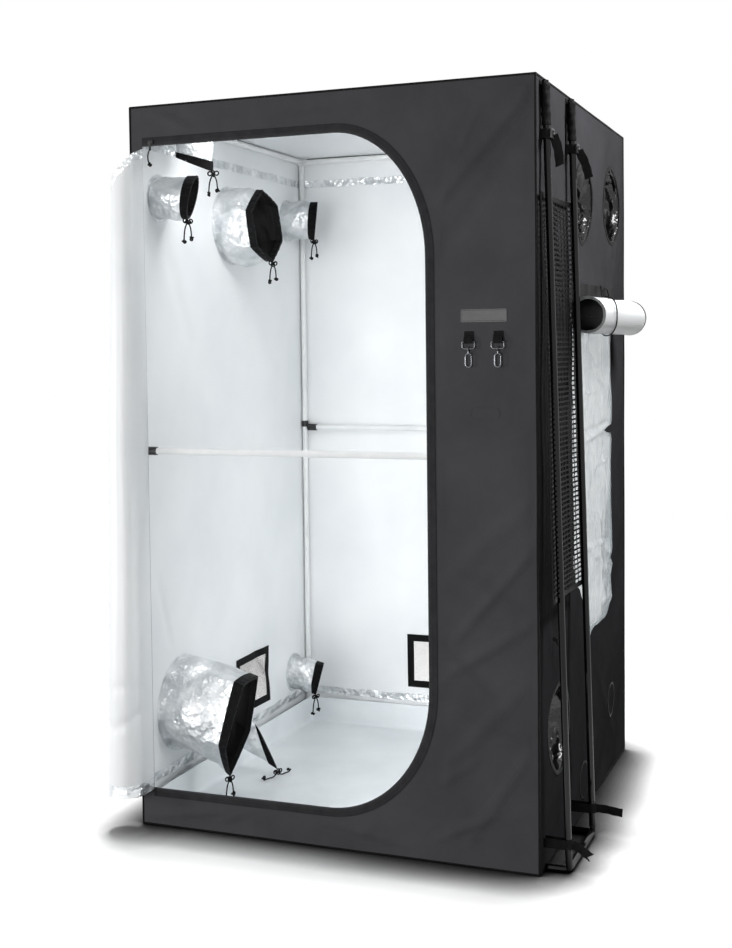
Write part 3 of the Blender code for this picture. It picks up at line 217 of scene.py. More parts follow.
# %% Foil and film finishes
# The foil's colour wanders in 60 mm clouds between grey and near-white: painted reflection, which gives the facets
# the light and dark that a mirrored room would give them.
silver_foil = finish("crinkled_silver_foil_cloth", "#D4D6D8", 0.30, ("#C9CDD0", "#F4F6F7"),
                     (noise_of, 60.0, 2.0), 0.0070, (crumpled_cells, 58.0), (noise_of, 30.0), Metallic=0.60)
film = finish("milky_vinyl_film", "#F6F8F9", 0.22, ("#F3F6F7", "#E4E9EB"), (noise_of, 90.0),
              0.004, (noise_of, 45.0), (noise_of, 160.0, 2.0), Transmission_Weight=0.70)
print("foil and film ready")

# %% [markdown]
# Hard CAD parts keep their shape and only change their finish. Each node's one material slot is given the
# new material, which leaves the mesh as it is.

# %% Finishes of the CAD parts that stay
CAD_FINISHES = (
    (("post_", "top_rail", "bottom_rail", "front_hanging_bar", "rear_hanging_bar"), white_steel),
    (("rack_pole", "foot_frame"), black_steel),
    (("corner_",), white_nylon),
    (("d_ring", "snap_hook", "hook_gate"), dark_nickel),
    (("zip_slider",), black_nylon),
)
for starts, material in CAD_FINISHES:
    for name, node in nodes.items():
        if name.startswith(starts):
            node.data.materials[0] = material

# %% [markdown]
# A few tools for the modelling bench. Everything is deselected before a new piece is started, because an
# operator acts on all that is selected. A finished piece has its place in its mesh, so its object is left
# at the origin. Cloth starts as a flat grid, as cloth does, and its points are then moved to their place.

# %% Tools for modelling
ROUND = 2 * math.pi
QUARTER = math.pi / 2


def begin(operator, name, **settings):
    """Start a piece with an operator and nothing else selected, and name it."""
    bpy.ops.object.select_all(action="DESELECT")
    operator(**settings)
    bpy.context.object.name = name
    return bpy.context.object


def only(piece):
    """Select one piece and make it the active one."""
    bpy.ops.object.select_all(action="DESELECT")
    piece.select_set(True)
    bpy.context.view_layer.objects.active = piece
    return piece


def settle(piece):
    """Put the object's place, turn and size into its mesh."""
    only(piece)
    bpy.ops.object.transform_apply(location=True, rotation=True, scale=True)
    return piece


def modify(piece, kind, **settings):
    """Add a modifier, set it and apply it."""
    only(piece)
    modifier = piece.modifiers.new(kind.title(), kind)
    for name, value in settings.items():
        setattr(modifier, name, value)
    bpy.ops.object.modifier_apply(modifier=modifier.name)
    return piece


def edit(piece, *steps, everything=True):
    """Do some steps in edit mode, on the whole piece or on what is selected already."""
    only(piece)
    bpy.ops.object.mode_set(mode="EDIT")
    if everything:
        bpy.ops.mesh.select_all(action="SELECT")
    for step in steps:
        step()
    bpy.ops.object.mode_set(mode="OBJECT")
    return piece


def choose(piece, kind, test):
    """Select the edges or faces that a test chooses, and no others."""
    edit(piece, lambda: bpy.ops.mesh.select_mode(type=kind), lambda: bpy.ops.mesh.select_all(action="DESELECT"))
    for part in piece.data.polygons if kind == "FACE" else piece.data.edges:
        part.select = test(part)


def points_of(piece):
    """The piece's points as an array with one row for each."""
    flat = np.empty(len(piece.data.vertices) * 3)
    piece.data.vertices.foreach_get("co", flat)
    return flat.reshape(-1, 3)


def move_points(piece, points):
    """Put the piece's points at new places."""
    piece.data.vertices.foreach_set("co", np.ascontiguousarray(points, dtype=float).ravel())
    piece.data.update()
    return piece


def dress(piece, body, slot, *finishes):
    """Give a piece its finishes and the body that it rides on; the slot argument is not used."""
    piece.data.materials.clear()
    for material in finishes:
        piece.data.materials.append(material)
    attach(piece, body)
    return piece


def soften(piece, angle=35.0):
    """Smooth shading that keeps real edges sharp."""
    only(piece)
    bpy.ops.object.shade_smooth_by_angle(angle=math.radians(angle))
    return piece


def in_webbing(piece, angle=0.0, body="tent"):
    """Dress a piece in black webbing; an angle also makes its shading smooth."""
    return dress(soften(piece, angle) if angle else piece, body, "webbing", webbing)


def paint(piece, chosen, number):
    """Give the faces that a test chooses another of the piece's finishes."""
    for face in piece.data.polygons:
        if chosen(face):
            face.material_index = number


def join(pieces, name):
    """Join several pieces to one."""
    bpy.ops.object.select_all(action="DESELECT")
    for piece in pieces:
        piece.select_set(True)
    bpy.context.view_layer.objects.active = pieces[0]
    bpy.ops.object.join()
    pieces[0].name = name
    return pieces[0]


def block(name, size, place=(0.0, 0.0, 0.0)):
    """A plain block."""
    piece = begin(bpy.ops.mesh.primitive_cube_add, name, size=1.0, location=place)
    piece.scale = size
    return settle(piece)


def straight_tube(name, start, end, radius, sides=12, cuts=0):
    """A round rod between two points, cut across in even lengths."""
    start, end = Vector(start), Vector(end)
    rod = settle(begin(bpy.ops.mesh.primitive_cylinder_add, name, vertices=sides, radius=radius,
                       depth=(end - start).length, location=(start + end) / 2,
                       rotation=(end - start).to_track_quat("Z", "Y").to_euler()))
    for number in range(cuts):
        spot = start.lerp(end, (number + 1) / (cuts + 1))
        edit(rod, lambda: bpy.ops.mesh.bisect(plane_co=spot, plane_no=(end - start).normalized()))
    return rod


def cloth_grid(name, columns, rows, form, closed=False):
    """A flat grid of cloth whose points form(u, v) puts in place; closed joins its two long edges."""
    piece = begin(bpy.ops.mesh.primitive_grid_add, name, x_subdivisions=columns, y_subdivisions=rows, size=1.0)
    flat = points_of(piece)
    move_points(piece, form(flat[:, 0] + 0.5, flat[:, 1] + 0.5))
    return edit(piece, lambda: bpy.ops.mesh.remove_doubles(threshold=0.00005)) if closed else piece


def thicken(piece, thickness, offset=-1.0, lined=False):
    """Give a sheet its thickness; a lined one has a second finish on its other side."""
    return modify(piece, "SOLIDIFY", thickness=thickness, offset=offset, material_offset=int(lined),
                  use_even_offset=False)


def swell(first, second, seed, size, depth):
    """Soft random waves of about that size and depth over two coordinates, in metres."""
    draw = np.random.default_rng(seed)
    total = np.zeros_like(first)
    for _ in range(6):
        angle, phase, stretch = draw.uniform(0, ROUND), draw.uniform(0, ROUND), draw.uniform(0.6, 1.7)
        run = (first * math.cos(angle) + second * math.sin(angle)) * ROUND / (size * stretch)
        total += np.sin(run + phase)
    return total * depth / 3.0


def crumple(first, second, across_cells, along_cells, seed):
    """Flat facets with sharp creases between them, from -1 to 1; it closes on itself across."""
    draw = np.random.default_rng(seed)
    heights = draw.uniform(-1.0, 1.0, (across_cells, along_cells + 2))
    bend = 0.35 * np.sin(ROUND * (first + 0.3 * second)) / across_cells
    column = (first + bend) * across_cells
    row = np.clip(second + 0.35 * np.sin(ROUND * first * 2) / along_cells, 0.0, 1.0) * along_cells
    i, j = np.floor(column).astype(int), np.floor(row).astype(int)
    f, g = column - i, row - j
    i, k = i % across_cells, (i + 1) % across_cells
    near = heights[i, j] + f * (heights[k, j] - heights[i, j]) + g * (heights[i, j + 1] - heights[i, j])
    far = heights[k, j + 1] + (1 - f) * (heights[i, j + 1] - heights[k, j + 1])
    far = far + (1 - g) * (heights[k, j] - heights[k, j + 1])
    return np.where(f + g < 1.0, near, far)


def creased(total, first, second, rows):
    """Add soft ridges or, with a negative depth, valleys, each along a line and fading at both ends.
    A row has the line's start and end, then the crease's width and depth."""
    for start_first, start_second, end_first, end_second, width, depth in rows:
        run = (end_first - start_first, end_second - start_second)
        length = math.hypot(*run)
        along = ((first - start_first) * run[0] + (second - start_second) * run[1]) / length ** 2
        aside = ((first - start_first) * run[1] - (second - start_second) * run[0]) / length
        fade = np.sqrt(np.clip(np.sin(math.pi * np.clip(along, 0.0, 1.0)), 0.0, 1.0))
        total = total + depth * fade * np.exp(-(aside / width) ** 2)
    return total


def fading(distance, start, end):
    """0 at start and 1 at end, with a soft step between."""
    share = np.clip((distance - start) / (end - start), 0.0, 1.0)
    return share * share * (3 - 2 * share)


def along_path(path, share):
    """Points at shares of a path's length."""
    path = np.array([tuple(point) for point in path], dtype=float)
    steps = np.concatenate([[0.0], np.cumsum(np.linalg.norm(np.diff(path, axis=0), axis=1))])
    return np.stack([np.interp(share * steps[-1], steps, path[:, axis]) for axis in range(path.shape[1])], axis=1)


def path_length(path):
    """How long a path of straight steps is."""
    return float(np.linalg.norm(np.diff(path, axis=0), axis=1).sum())


# %% [markdown]
# The cover is six panels sewn at their edges. On the real tent each panel is one cut of cloth, dark
# outside and white inside, stretched over the frame. So each is a grid that gets its thickness with a second
# finish on the inner side, and then has its doorway, window and ports cut out. The wrinkles come last.

# %% Panels of the cover
WIDTH, DEPTH, HEIGHT = 1.200, 1.200, 2.100
HALF = WIDTH / 2
CLOTH, SEAM = 0.0015, 0.0003
TURNS = {"front": (QUARTER, 0, 0), "right": (QUARTER, 0, QUARTER), "back": (QUARTER, 0, math.pi),
         "left": (QUARTER, 0, -QUARTER), "roof": (0, 0, 0), "floor": (math.pi, 0, 0)}
OUTWARD = {"front": (0, -1, 0), "right": (1, 0, 0), "back": (0, 1, 0), "left": (-1, 0, 0),
           "roof": (0, 0, 1), "floor": (0, 0, -1)}
CUTTER_DEPTH = 0.04


def wall_panel(side, spacing):
    """A flat panel of the cover, its outer face on the box of the cover."""
    seams = 2 * (CLOTH + SEAM)
    wide = WIDTH - seams if side in ("left", "right") else WIDTH
    tall = DEPTH if side in ("roof", "floor") else HEIGHT - seams
    panel = begin(bpy.ops.mesh.primitive_grid_add, side + "_cover", x_subdivisions=round(wide / spacing),
                  y_subdivisions=round(tall / spacing), size=1.0, rotation=TURNS[side])
    panel.scale = (wide, tall, 1.0)
    reach = HEIGHT / 2 if side in ("roof", "floor") else HALF
    panel.location = Vector((0, 0, HEIGHT / 2)) + Vector(OUTWARD[side]) * reach
    settle(panel)
    panel.data.materials.append(oxford)
    panel.data.materials.append(lining)
    return thicken(panel, CLOTH, -1.0, lined=True)


def cut_out(panel, cutter):
    """Cut one shape out of a piece and throw the cutter away."""
    settle(cutter)
    modify(panel, "BOOLEAN", operation="DIFFERENCE", object=cutter, solver="EXACT")
    bpy.data.objects.remove(cutter, do_unlink=True)


def wall_block(side, wide, tall, radius=0.0):
    """A block turned to lie on a wall; a radius rounds its four corners."""
    piece = block("block", (wide, tall, CUTTER_DEPTH))
    if radius:
        corners = piece.data.vertices
        choose(piece, "EDGE", lambda edge: (corners[edge.vertices[0]].co.xy
                                            - corners[edge.vertices[1]].co.xy).length < 0.0001)
        edit(piece, lambda: bpy.ops.mesh.bevel(offset=radius, segments=18, profile=0.5, affect="EDGES"),
             everything=False)
    piece.rotation_euler = TURNS[side]
    return piece


def outline_cutter(side, outline):
    """A cutter with any outline: a filled circle's points are moved to it, and it is given depth."""
    outline = list(outline)
    cutter = begin(bpy.ops.mesh.primitive_circle_add, "cutter", vertices=len(outline), radius=0.1,
                   fill_type="NGON")
    hand = -1.0 if side in ("left", "back") else 1.0
    move_points(cutter, [(hand * first, second, 0.0) for first, second in outline])
    modify(cutter, "SOLIDIFY", thickness=CUTTER_DEPTH, offset=0.0)
    edit(cutter, lambda: bpy.ops.mesh.normals_make_consistent(inside=False))
    cutter.rotation_euler = TURNS[side]
    cutter.location = Vector(OUTWARD[side]) * (HEIGHT if side == "roof" else HALF)
    return cutter


# %% [markdown]
# Where the ports sit comes from the CAD: six in the left wall, three in the right wall and one in the roof.
# Each row gives the wall, the two distances that place the port, and its radius, all in metres.

# %% Ports and vents
PORTS = {
    "left_upper_front": ("left", -0.441, 1.8543, 0.062),
    "left_upper_middle": ("left", 0.0252, 1.8089, 0.120),
    "left_upper_rear": ("left", 0.480, 1.8627, 0.066),
    "left_lower_front": ("left", -0.360, 0.3049, 0.138),
    "left_lower_small": ("left", -0.090, 0.1670, 0.050),
    "left_lower_rear": ("left", 0.480, 0.2050, 0.060),
    "right_upper_front": ("right", -0.030, 1.8249, 0.120),
    "right_upper_rear": ("right", 0.3852, 1.8501, 0.120),
    "right_lower_front": ("right", -0.378, 0.3381, 0.120),
    "roof": ("roof", -0.4998, -0.4002, 0.050),
}
VENTS = {"left": (0.138, 0.2531), "back": (-0.0648, 0.2531)}
VENT_WIDTH, VENT_HEIGHT, VENT_BORDER, VENT_LAP = 0.255, 0.195, 0.025, 0.012


def port_shape(side, angle):
    """Across and up, the outline of a port of radius 1: round, or a little pointed in the right wall."""
    across, upwards = np.cos(angle), np.sin(angle)
    if side == "right":
        across = 1.05 * np.sign(across) * np.abs(across) ** 1.15 + 0.04 * np.sin(2 * angle)
    return across, upwards


def on_wall(side, first, second, out=0.0):
    """A point on a wall's outer face: distance along it and height, or x and y on the roof."""
    reach = HALF + out
    return Vector({"left": (-reach, first, second), "right": (reach, first, second),
                   "front": (first, -reach, second), "back": (first, reach, second),
                   "roof": (first, second, HEIGHT + out)}[side])


def lay_on(side, first, second, proud):
    """Points that lie on a wall and follow its wrinkles, standing proud of it or, below 0, inside it."""
    lift = RELIEF[side](first, second) + proud
    return np.array([on_wall(side, *spot) for spot in zip(first, second, lift)])


def from_edge(along, z):
    """How far a point of an upright wall is from the wall's nearest edge."""
    return np.minimum(np.minimum(HALF - np.abs(along), HEIGHT - z), z)


def front_relief(x, z):
    """How far the front stands out, in metres: a long diagonal crease, and folds low on the right."""
    total = creased(swell(x, z, 3, 0.34, 0.0022), x, z, (
        (0.64, 2.12, 0.22, 1.66, 0.016, 0.0085), (0.66, 2.06, 0.30, 1.60, 0.028, -0.0050),
        (0.46, 2.04, 0.38, 1.90, 0.010, 0.0030), (0.62, 1.02, 0.31, 0.74, 0.026, 0.0060),
        (0.60, 0.88, 0.36, 0.60, 0.014, 0.0080), (0.36, 0.80, 0.56, 0.70, 0.018, 0.0060),
        (0.60, 0.68, 0.32, 0.50, 0.016, 0.0080), (0.34, 0.62, 0.52, 0.44, 0.018, -0.0060),
        (0.58, 0.52, 0.28, 0.20, 0.020, 0.0055), (0.34, 0.44, 0.58, 0.36, 0.012, 0.0050),
        (0.60, 0.36, 0.40, 0.06, 0.016, 0.0045), (0.44, 0.30, 0.08, 0.05, 0.014, 0.0070),
        (0.30, 0.06, 0.50, 0.16, 0.012, 0.0060), (-0.12, 0.10, 0.26, 0.03, 0.009, 0.0055),
        (-0.57, 0.03, -0.26, 0.08, 0.010, 0.0060), (-0.36, 0.03, -0.20, 0.10, 0.008, 0.0045),
        (-0.54, 2.09, -0.34, 1.99, 0.010, 0.0055), (-0.58, 2.02, -0.44, 2.07, 0.008, 0.0040),
        (-0.20, 2.02, 0.12, 2.05, 0.012, 0.0040)))
    off_zip = np.maximum(np.maximum(x - 0.300, z - 1.985), 0.115 - z)
    return total * fading(off_zip, 0.022, 0.055) * fading(from_edge(x, z), 0.0, 0.035)


def side_relief(y, z):
    """The side walls: slack cloth between the posts, with folds that fall from the top corners."""
    total = creased(swell(y, z, 8, 0.40, 0.0030) + swell(y, z, 9, 0.16, 0.0008), y, z, (
        (-0.58, 2.06, -0.25, 1.40, 0.030, 0.0040), (0.58, 2.06, 0.42, 1.62, 0.024, 0.0035),
        (-0.50, 0.72, -0.42, 0.48, 0.012, 0.0050), (0.10, 0.42, 0.45, 0.06, 0.022, 0.0040),
        (-0.20, 0.30, -0.28, 0.05, 0.014, 0.0045)))
    return total * fading(from_edge(y, z), 0.0, 0.06)


def back_relief(x, z):
    """The back: the same slack cloth, with two folds across it."""
    total = creased(swell(x, z, 14, 0.42, 0.0030), x, z, (
        (-0.55, 1.95, 0.20, 1.30, 0.035, 0.0035), (0.55, 0.70, 0.10, 0.12, 0.026, 0.0040)))
    return total * fading(from_edge(x, z), 0.0, 0.06)


def roof_relief(x, y):
    """The roof dips a little between its bars."""
    edge = np.minimum(HALF - np.abs(x), HALF - np.abs(y))
    return (swell(x, y, 21, 0.30, 0.0025) - 0.002) * fading(edge, 0.0, 0.10)


RELIEF = {"front": front_relief, "left": side_relief, "right": side_relief, "back": back_relief,
          "roof": roof_relief, "floor": lambda x, y: np.zeros_like(x)}


def wrinkle(piece, side):
    """Move a piece's points in or out with the wall that it lies on."""
    points = points_of(piece)
    first = points[:, 1] if side in ("left", "right") else points[:, 0]
    second = points[:, 1] if side in ("roof", "floor") else points[:, 2]
    points += RELIEF[side](first, second)[:, None] * np.array(OUTWARD[side])
    return move_points(piece, points)


# %% [markdown]
# The front has the D-shaped doorway: straight at the left, where the door hangs, with large round corners
# at the top right and below. Its edge is drawn point by point, and the filled outline cuts it in one stroke.
# Window and ports are cut the same way, each port with an edge that is a little uneven, as scissors leave it.

# %% The six panels
DOOR_LEFT, DOOR_RIGHT, DOOR_BOTTOM, DOOR_TOP = -0.560, 0.296, 0.117, 1.985
TOP_WIDE, TOP_TALL, BOTTOM_WIDE, BOTTOM_TALL = 0.262, 0.345, 0.300, 0.350
# Each side's CAD node, the spacing of its points, the flat size of its cloth, and its area without holes.
PANELS = {
    "front": ("front_panel", 0.010, (1.200, 2.096), 0.95),
    "left": ("left_wall", 0.014, (1.196, 2.096), 2.25),
    "right": ("right_wall", 0.012, (1.196, 2.096), 1.73),
    "back": ("back_wall", 0.020, (1.200, 2.096), 2.47),
    "roof": ("roof_panel", 0.020, (1.200, 1.200), 1.43),
    "floor": ("floor_panel", 0.060, (1.200, 1.200), 1.44),
}
panels = {side: wall_panel(side, spacing) for side, (_, spacing, _, _) in PANELS.items()}


def door_outline(offset):
    """Points along the doorway's edge, moved outwards, from top left round to bottom left."""
    right, top, bottom = DOOR_RIGHT + offset, DOOR_TOP + offset, DOOR_BOTTOM - offset
    path = [(DOOR_LEFT + (DOOR_RIGHT - TOP_WIDE - DOOR_LEFT) * step / 28, top) for step in range(28)]
    corners = ((TOP_WIDE + offset, TOP_TALL + offset, 90.0, top - TOP_TALL - offset),
               (BOTTOM_WIDE + offset, BOTTOM_TALL + offset, 0.0, bottom + BOTTOM_TALL + offset))
    for wide, tall, start, middle_z in corners:
        for step in range(25):
            angle = math.radians(start - 90.0 * step / 24)
            path.append((right - wide + wide * math.cos(angle), middle_z + tall * math.sin(angle)))
    path.append((DOOR_LEFT, bottom - 0.004))
    return path


cut_out(panels["front"], outline_cutter("front", door_outline(0.0)))

WINDOW_FRONT, WINDOW_REAR, WINDOW_BOTTOM, WINDOW_TOP = -0.200, 0.400, 0.480, 1.545
WINDOW_EDGE = (
    (-0.19, 1.545), (-0.19, 1.20), (-0.19, 0.95), (-0.187, 0.76), (-0.16, 0.705), (-0.10, 0.678),
    (-0.05, 0.62), (0.00, 0.545), (0.025, 0.510), (0.041, 0.507), (0.075, 0.520), (0.117, 0.527),
    (0.170, 0.522), (0.218, 0.525), (0.268, 0.523), (0.308, 0.529), (0.343, 0.552), (0.398, 0.571),
    (0.388, 0.597), (0.375, 0.619), (0.361, 0.648), (0.392, 0.678), (0.352, 0.707), (0.393, 0.737),
    (0.378, 0.762), (0.382, 0.845), (0.386, 0.930), (0.390, 1.015), (0.395, 1.096), (0.389, 1.112),
    (0.330, 1.116), (0.268, 1.127), (0.330, 1.136), (0.388, 1.141), (0.396, 1.160), (0.394, 1.230),
    (0.392, 1.311), (0.399, 1.340), (0.400, 1.410), (0.398, 1.480), (0.385, 1.545))
cut_out(panels["right"], outline_cutter("right", WINDOW_EDGE))

for number, (side, first, second, radius) in enumerate(PORTS.values()):
    angles = np.linspace(0.0, ROUND, 65)[:-1]
    waves = np.sin(3 * angles + number) + 0.6 * np.sin(7 * angles + 2.1 * number)
    uneven = radius * (1.0 - 0.012 * (1.0 + waves))
    across, upwards = port_shape(side, angles)
    cut_out(panels[side], outline_cutter(side, zip(first + uneven * across, second + uneven * upwards)))
for side, (first, second) in VENTS.items():
    hole = wall_block(side, VENT_WIDTH - 2 * VENT_LAP, VENT_HEIGHT - 2 * VENT_LAP)
    hole.location = on_wall(side, first, second)
    cut_out(panels[side], hole)

paint(panels["front"], lambda face: face.normal.x > 0.9 and face.center.x < DOOR_LEFT + 0.002, 1)
for side, (cad_panel, _, flat, area) in PANELS.items():
    panel = soften(wrinkle(panels[side], side), 50.0)
    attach(panel, "tent")
    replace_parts(panel, cad_panel)
    print(panel.name, len(panel.data.polygons), "faces")

# %% [markdown]
# Piping covers the seams where two panels meet: a thin cord in a strip of cloth, sewn into every edge of
# the cover. One cylinder is modelled along an edge, cut into short lengths and bent a little, then the twelve
# are joined, because they are sewn as one.

# %% Piping along the edges
PIPING = 0.0032
rim, low, high = HALF - 0.0005, PIPING, HEIGHT - 0.001
edges = []
for x in (-rim, rim):
    edges += [((x, y, low), (x, y, high)) for y in (-rim, rim)]
    edges += [((x, -rim, z), (x, rim, z)) for z in (low, high)]
for y in (-rim, rim):
    edges += [((-rim, y, z), (rim, y, z)) for z in (low, high)]
piping = join([straight_tube("piping", start, end, PIPING, 10, 16) for start, end in edges], "edge_piping")
points = points_of(piping)
sway = swell(points[:, 2] + points[:, 0], points[:, 1] - points[:, 0], 30, 0.30, 0.0006)
points[:, 0] += sway
points[:, 1] += np.roll(sway, 7)
points[:, 2] = np.maximum(points[:, 2], 0.0)
move_points(piping, points)
dress(soften(piping), "tent", "oxford_cloth", webbing)
print("piping", len(edges), "edges")

# %% [markdown]
# The zip runs round the doorway from the top left to the bottom left. It is a tape of black cloth with a
# nylon coil along its inner edge. The tape is a grid laid between two outlines of the doorway, with a low
# ridge along either edge. The coil is one small tooth, repeated along the inner outline.

# %% Zip tape and coil
TAPE, TAPE_THICK, SET_BACK = 0.022, 0.0016, 0.003
TOOTH_LONG, TOOTH_RADIUS, TOOTH_PITCH = 0.0058, 0.0011, 0.0036


def tape_form(u, v):
    """Across the tape with u, along the doorway with v."""
    inner = along_path(door_outline(SET_BACK), v)
    outer = along_path(door_outline(SET_BACK + TAPE), v)
    mix = inner + (outer - inner) * u[:, None]
    ridge = 0.0006 * np.exp(-((u - 0.12) / 0.06) ** 2) + 0.0004 * np.exp(-((u - 0.86) / 0.05) ** 2)
    return np.stack([mix[:, 0], -HALF - SEAM - ridge, mix[:, 1]], axis=1)


tape = thicken(cloth_grid("zip_tape", 14, 260, tape_form), TAPE_THICK)
dress(soften(tape), "tent", "black_plastic", zip_cloth)
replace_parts(tape, "door_zip")

tooth = straight_tube("zip_coil", (0, 0, 0), (0, 0, TOOTH_LONG), TOOTH_RADIUS, 8)
local = points_of(tooth) + np.array((0.0, -HALF - 0.0012, -0.0002))
outline = door_outline(SET_BACK)
shares = np.arange(0.0012, 0.998, TOOTH_PITCH / path_length(outline))
middles = along_path(outline, shares)
headings = along_path(outline, np.minimum(shares + 0.001, 1.0)) - middles
teeth = []
for middle, turn in zip(middles, np.arctan2(headings[:, 1], headings[:, 0])):
    copy = tooth.copy()
    copy.data = tooth.data.copy()
    bpy.context.collection.objects.link(copy)
    x = middle[0] + local[:, 0] * math.cos(turn) - local[:, 2] * math.sin(turn)
    z = middle[1] + local[:, 0] * math.sin(turn) + local[:, 2] * math.cos(turn)
    teeth.append(move_points(copy, np.stack([x, local[:, 1], z], axis=1)))
bpy.data.objects.remove(tooth, do_unlink=True)
dress(soften(join(teeth, "zip_coil")), "tent", "black_plastic", black_nylon)

# %% [markdown]
# A duct sleeve is a tube of foil cloth, sewn to the inside of the wall round its port. It droops under its
# own weight, and keeps the flat facets of its folds. Its mouth has a wide black cuff with a drawcord in it.
# All ten come from one form; a row of numbers says how each hangs: length, droop, turn down and aside in
# degrees, width of the mouth, how flat the mouth is pulled (below 0 from the sides), how deep the facets
# are, and how many corners the mouth has.

# %% Duct sleeves
FACING = {"left": (QUARTER, 0, QUARTER), "right": (QUARTER, 0, -QUARTER), "roof": (math.pi, 0, 0)}
FLANGE, FLANGE_SHARE, INNER_FACE = 0.010, 0.06, 0.0026
HANG = {
    "left_upper_front": (0.112, 0.02, 14.0, 17.0, 0.98, -0.10, 0.120, 0),
    "left_upper_middle": (0.135, 0.04, -4.0, 0.0, 0.94, 0.00, 0.120, 6),
    "left_upper_rear": (0.112, 0.04, 6.0, 24.0, 0.97, -0.06, 0.120, 0),
    "left_lower_front": (0.205, 0.25, 13.0, 7.0, 1.08, -0.22, 0.140, 5),
    "left_lower_small": (0.165, 0.46, -24.0, 24.0, 1.00, -0.80, 0.080, 0),
    "left_lower_rear": (0.105, 0.14, 15.0, 20.0, 0.92, -0.20, 0.120, 5),
    "right_upper_front": (0.135, 0.10, 8.0, 0.0, 0.50, -0.25, 0.170, 0),
    "right_upper_rear": (0.135, 0.10, 8.0, 0.0, 0.50, -0.25, 0.170, 0),
    "right_lower_front": (0.135, 0.12, 10.0, 0.0, 0.50, -0.25, 0.170, 0),
    "roof": (0.142, 0.00, 0.0, -22.0, 1.08, 0.55, 0.055, 0),
}


def sleeve_points(name, angle, share, stand):
    """Points of a sleeve in the row frame: angle round it, share of its length, and extra radius."""
    length, droop, down, aside, mouth, flat, _, corners = HANG[name]
    side, first, second, radius = PORTS[name]
    bend = share ** 1.8
    bulge = 1.0 + 0.045 * np.sin(math.pi * np.clip(share * 1.3, 0.0, 1.0)) - 0.03 * fading(share, 0.6, 0.86)
    if corners:
        part = np.mod(angle + 0.35, ROUND / corners) - math.pi / corners
        straight = 1.06 * math.cos(math.pi / corners) / np.cos(part)
        bulge = bulge * (1.0 + (straight - 1.0) * 0.85 * fading(share, 0.35, 0.9))
    out = radius * bulge * (1.0 + (mouth - 1.0) * share) + stand
    squeeze = fading(share, 0.1, 1.0) * abs(flat)
    narrow, wide = 1.0 - squeeze, 1.0 + (0.35 if flat > 0 else 0.45) * squeeze
    across, upwards = port_shape(side, angle)
    x, y = out * across * (wide if flat > 0 else narrow), out * upwards * (narrow if flat > 0 else wide)
    tilt, swing = math.radians(down) * bend, math.radians(aside) * bend
    y, z = y * np.cos(tilt), y * np.sin(tilt)
    x, z = x * np.cos(swing) + z * np.sin(swing), z * np.cos(swing) - x * np.sin(swing)
    y, z = y - length * droop * bend, z + length * share
    turned = np.stack([x, y, z], axis=1) @ np.array(Euler(FACING[side]).to_matrix()).T
    placed = turned + np.array(on_wall(side, first, second, -INNER_FACE))
    along, upright = (placed[:, 0], placed[:, 1]) if side == "roof" else (placed[:, 1], placed[:, 2])
    lift = RELIEF[side](along, upright) * (1.0 - fading(z, 0.0, 0.05))
    return placed + lift[:, None] * np.array(OUTWARD[side])


def sleeve_form(name, seed):
    """The sleeve with its sewn edge and its facets, large and small, which fade before the cuff."""
    radius, depth = PORTS[name][3], HANG[name][6]

    def form(u, v):
        share = np.clip((v - FLANGE_SHARE) / (1.0 - FLANGE_SHARE), 0.0, 1.0) * 0.985
        edge = FLANGE * (1.0 - np.clip(v / FLANGE_SHARE, 0.0, 1.0))
        facet = crumple(u, share, 7 if radius > 0.1 else 6, 2, seed) * fading(share, 0.0, 0.25)
        small = crumple(u, share, 15, 5, seed + 50) * 0.30 * fading(share, 0.0, 0.12)
        facet = (facet + small) * (1.0 - fading(share, 0.62, 0.82))
        return sleeve_points(name, u * ROUND, share, radius * depth * facet + edge)
    return form


def cuff_form(name):
    """The cuff: out along the sleeve, round its lip and a little way back inside."""
    deep = 0.023 / HANG[name][0]

    def form(u, v):
        out = np.clip(v / 0.62, 0.0, 1.0)
        home = np.clip((v - 0.70) / 0.30, 0.0, 1.0)
        share = 1.0 - deep + deep * out - 0.75 * deep * home
        gather = 0.0009 * np.sin(u * ROUND * 23) * out + 0.0005 * np.sin(u * ROUND * 41 + 1.0)
        lip = np.sin(math.pi * np.clip((v - 0.55) / 0.25, 0.0, 1.0)) * 0.0012
        stand = np.where(v < 0.66, 0.0022 + gather + lip, -0.0030 + gather)
        return sleeve_points(name, u * ROUND, share, stand)
    return form


def ring_form(side, first, second, radius, inner, outer, shape):
    """A flat ring on the outside of a wall, following its wrinkles; it has the shape of a side's ports."""
    def form(u, v):
        out = radius + inner + (outer - inner) * v + 0.0007 * np.sin(u * ROUND * 9 + first * 50)
        across, upwards = port_shape(shape, u * ROUND)
        return lay_on(side, first + out * across, second + out * upwards, 0.0006 + 0.0009 * np.sin(math.pi * v))
    return form


cuffs = {}
for number, (name, (side, first, second, radius)) in enumerate(PORTS.items()):
    around, along = (108, 54) if radius > 0.1 else (84, 48)
    sleeve = cloth_grid("duct_sleeve_" + name, around, along, sleeve_form(name, 3 + number), closed=True)
    dress(sleeve, "tent", "silver_mylar", silver_foil, glossy_lining if side == "right" else black_lining)
    soften(thicken(sleeve, 0.0012, lined=True), 25.0)
    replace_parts(sleeve, "sleeve_" + name)
    cuffs[name] = thicken(cloth_grid("cuff_" + name, around, 26, cuff_form(name), closed=True), 0.0014, 0.0)
    in_webbing(cuffs[name], 40.0)
    binding = ring_form(side, first, second, radius, -0.003, 0.009, side)
    in_webbing(thicken(cloth_grid("port_binding_" + name, 96, 6, binding, True), 0.0010, 0.0), 40.0)
print("sleeves", list(cuffs))

# %% [markdown]
# The drawcord of each cuff comes out at its lowest point. It is tied there in a small bow, so a loop
# stands out at each side of the knot and two ends hang down, or lie on the floor tray where they reach it.
# Each end is a curve with a bevel, which is how a cord is drawn, and carries a small knot of its own, so
# that the cord can't slip back.

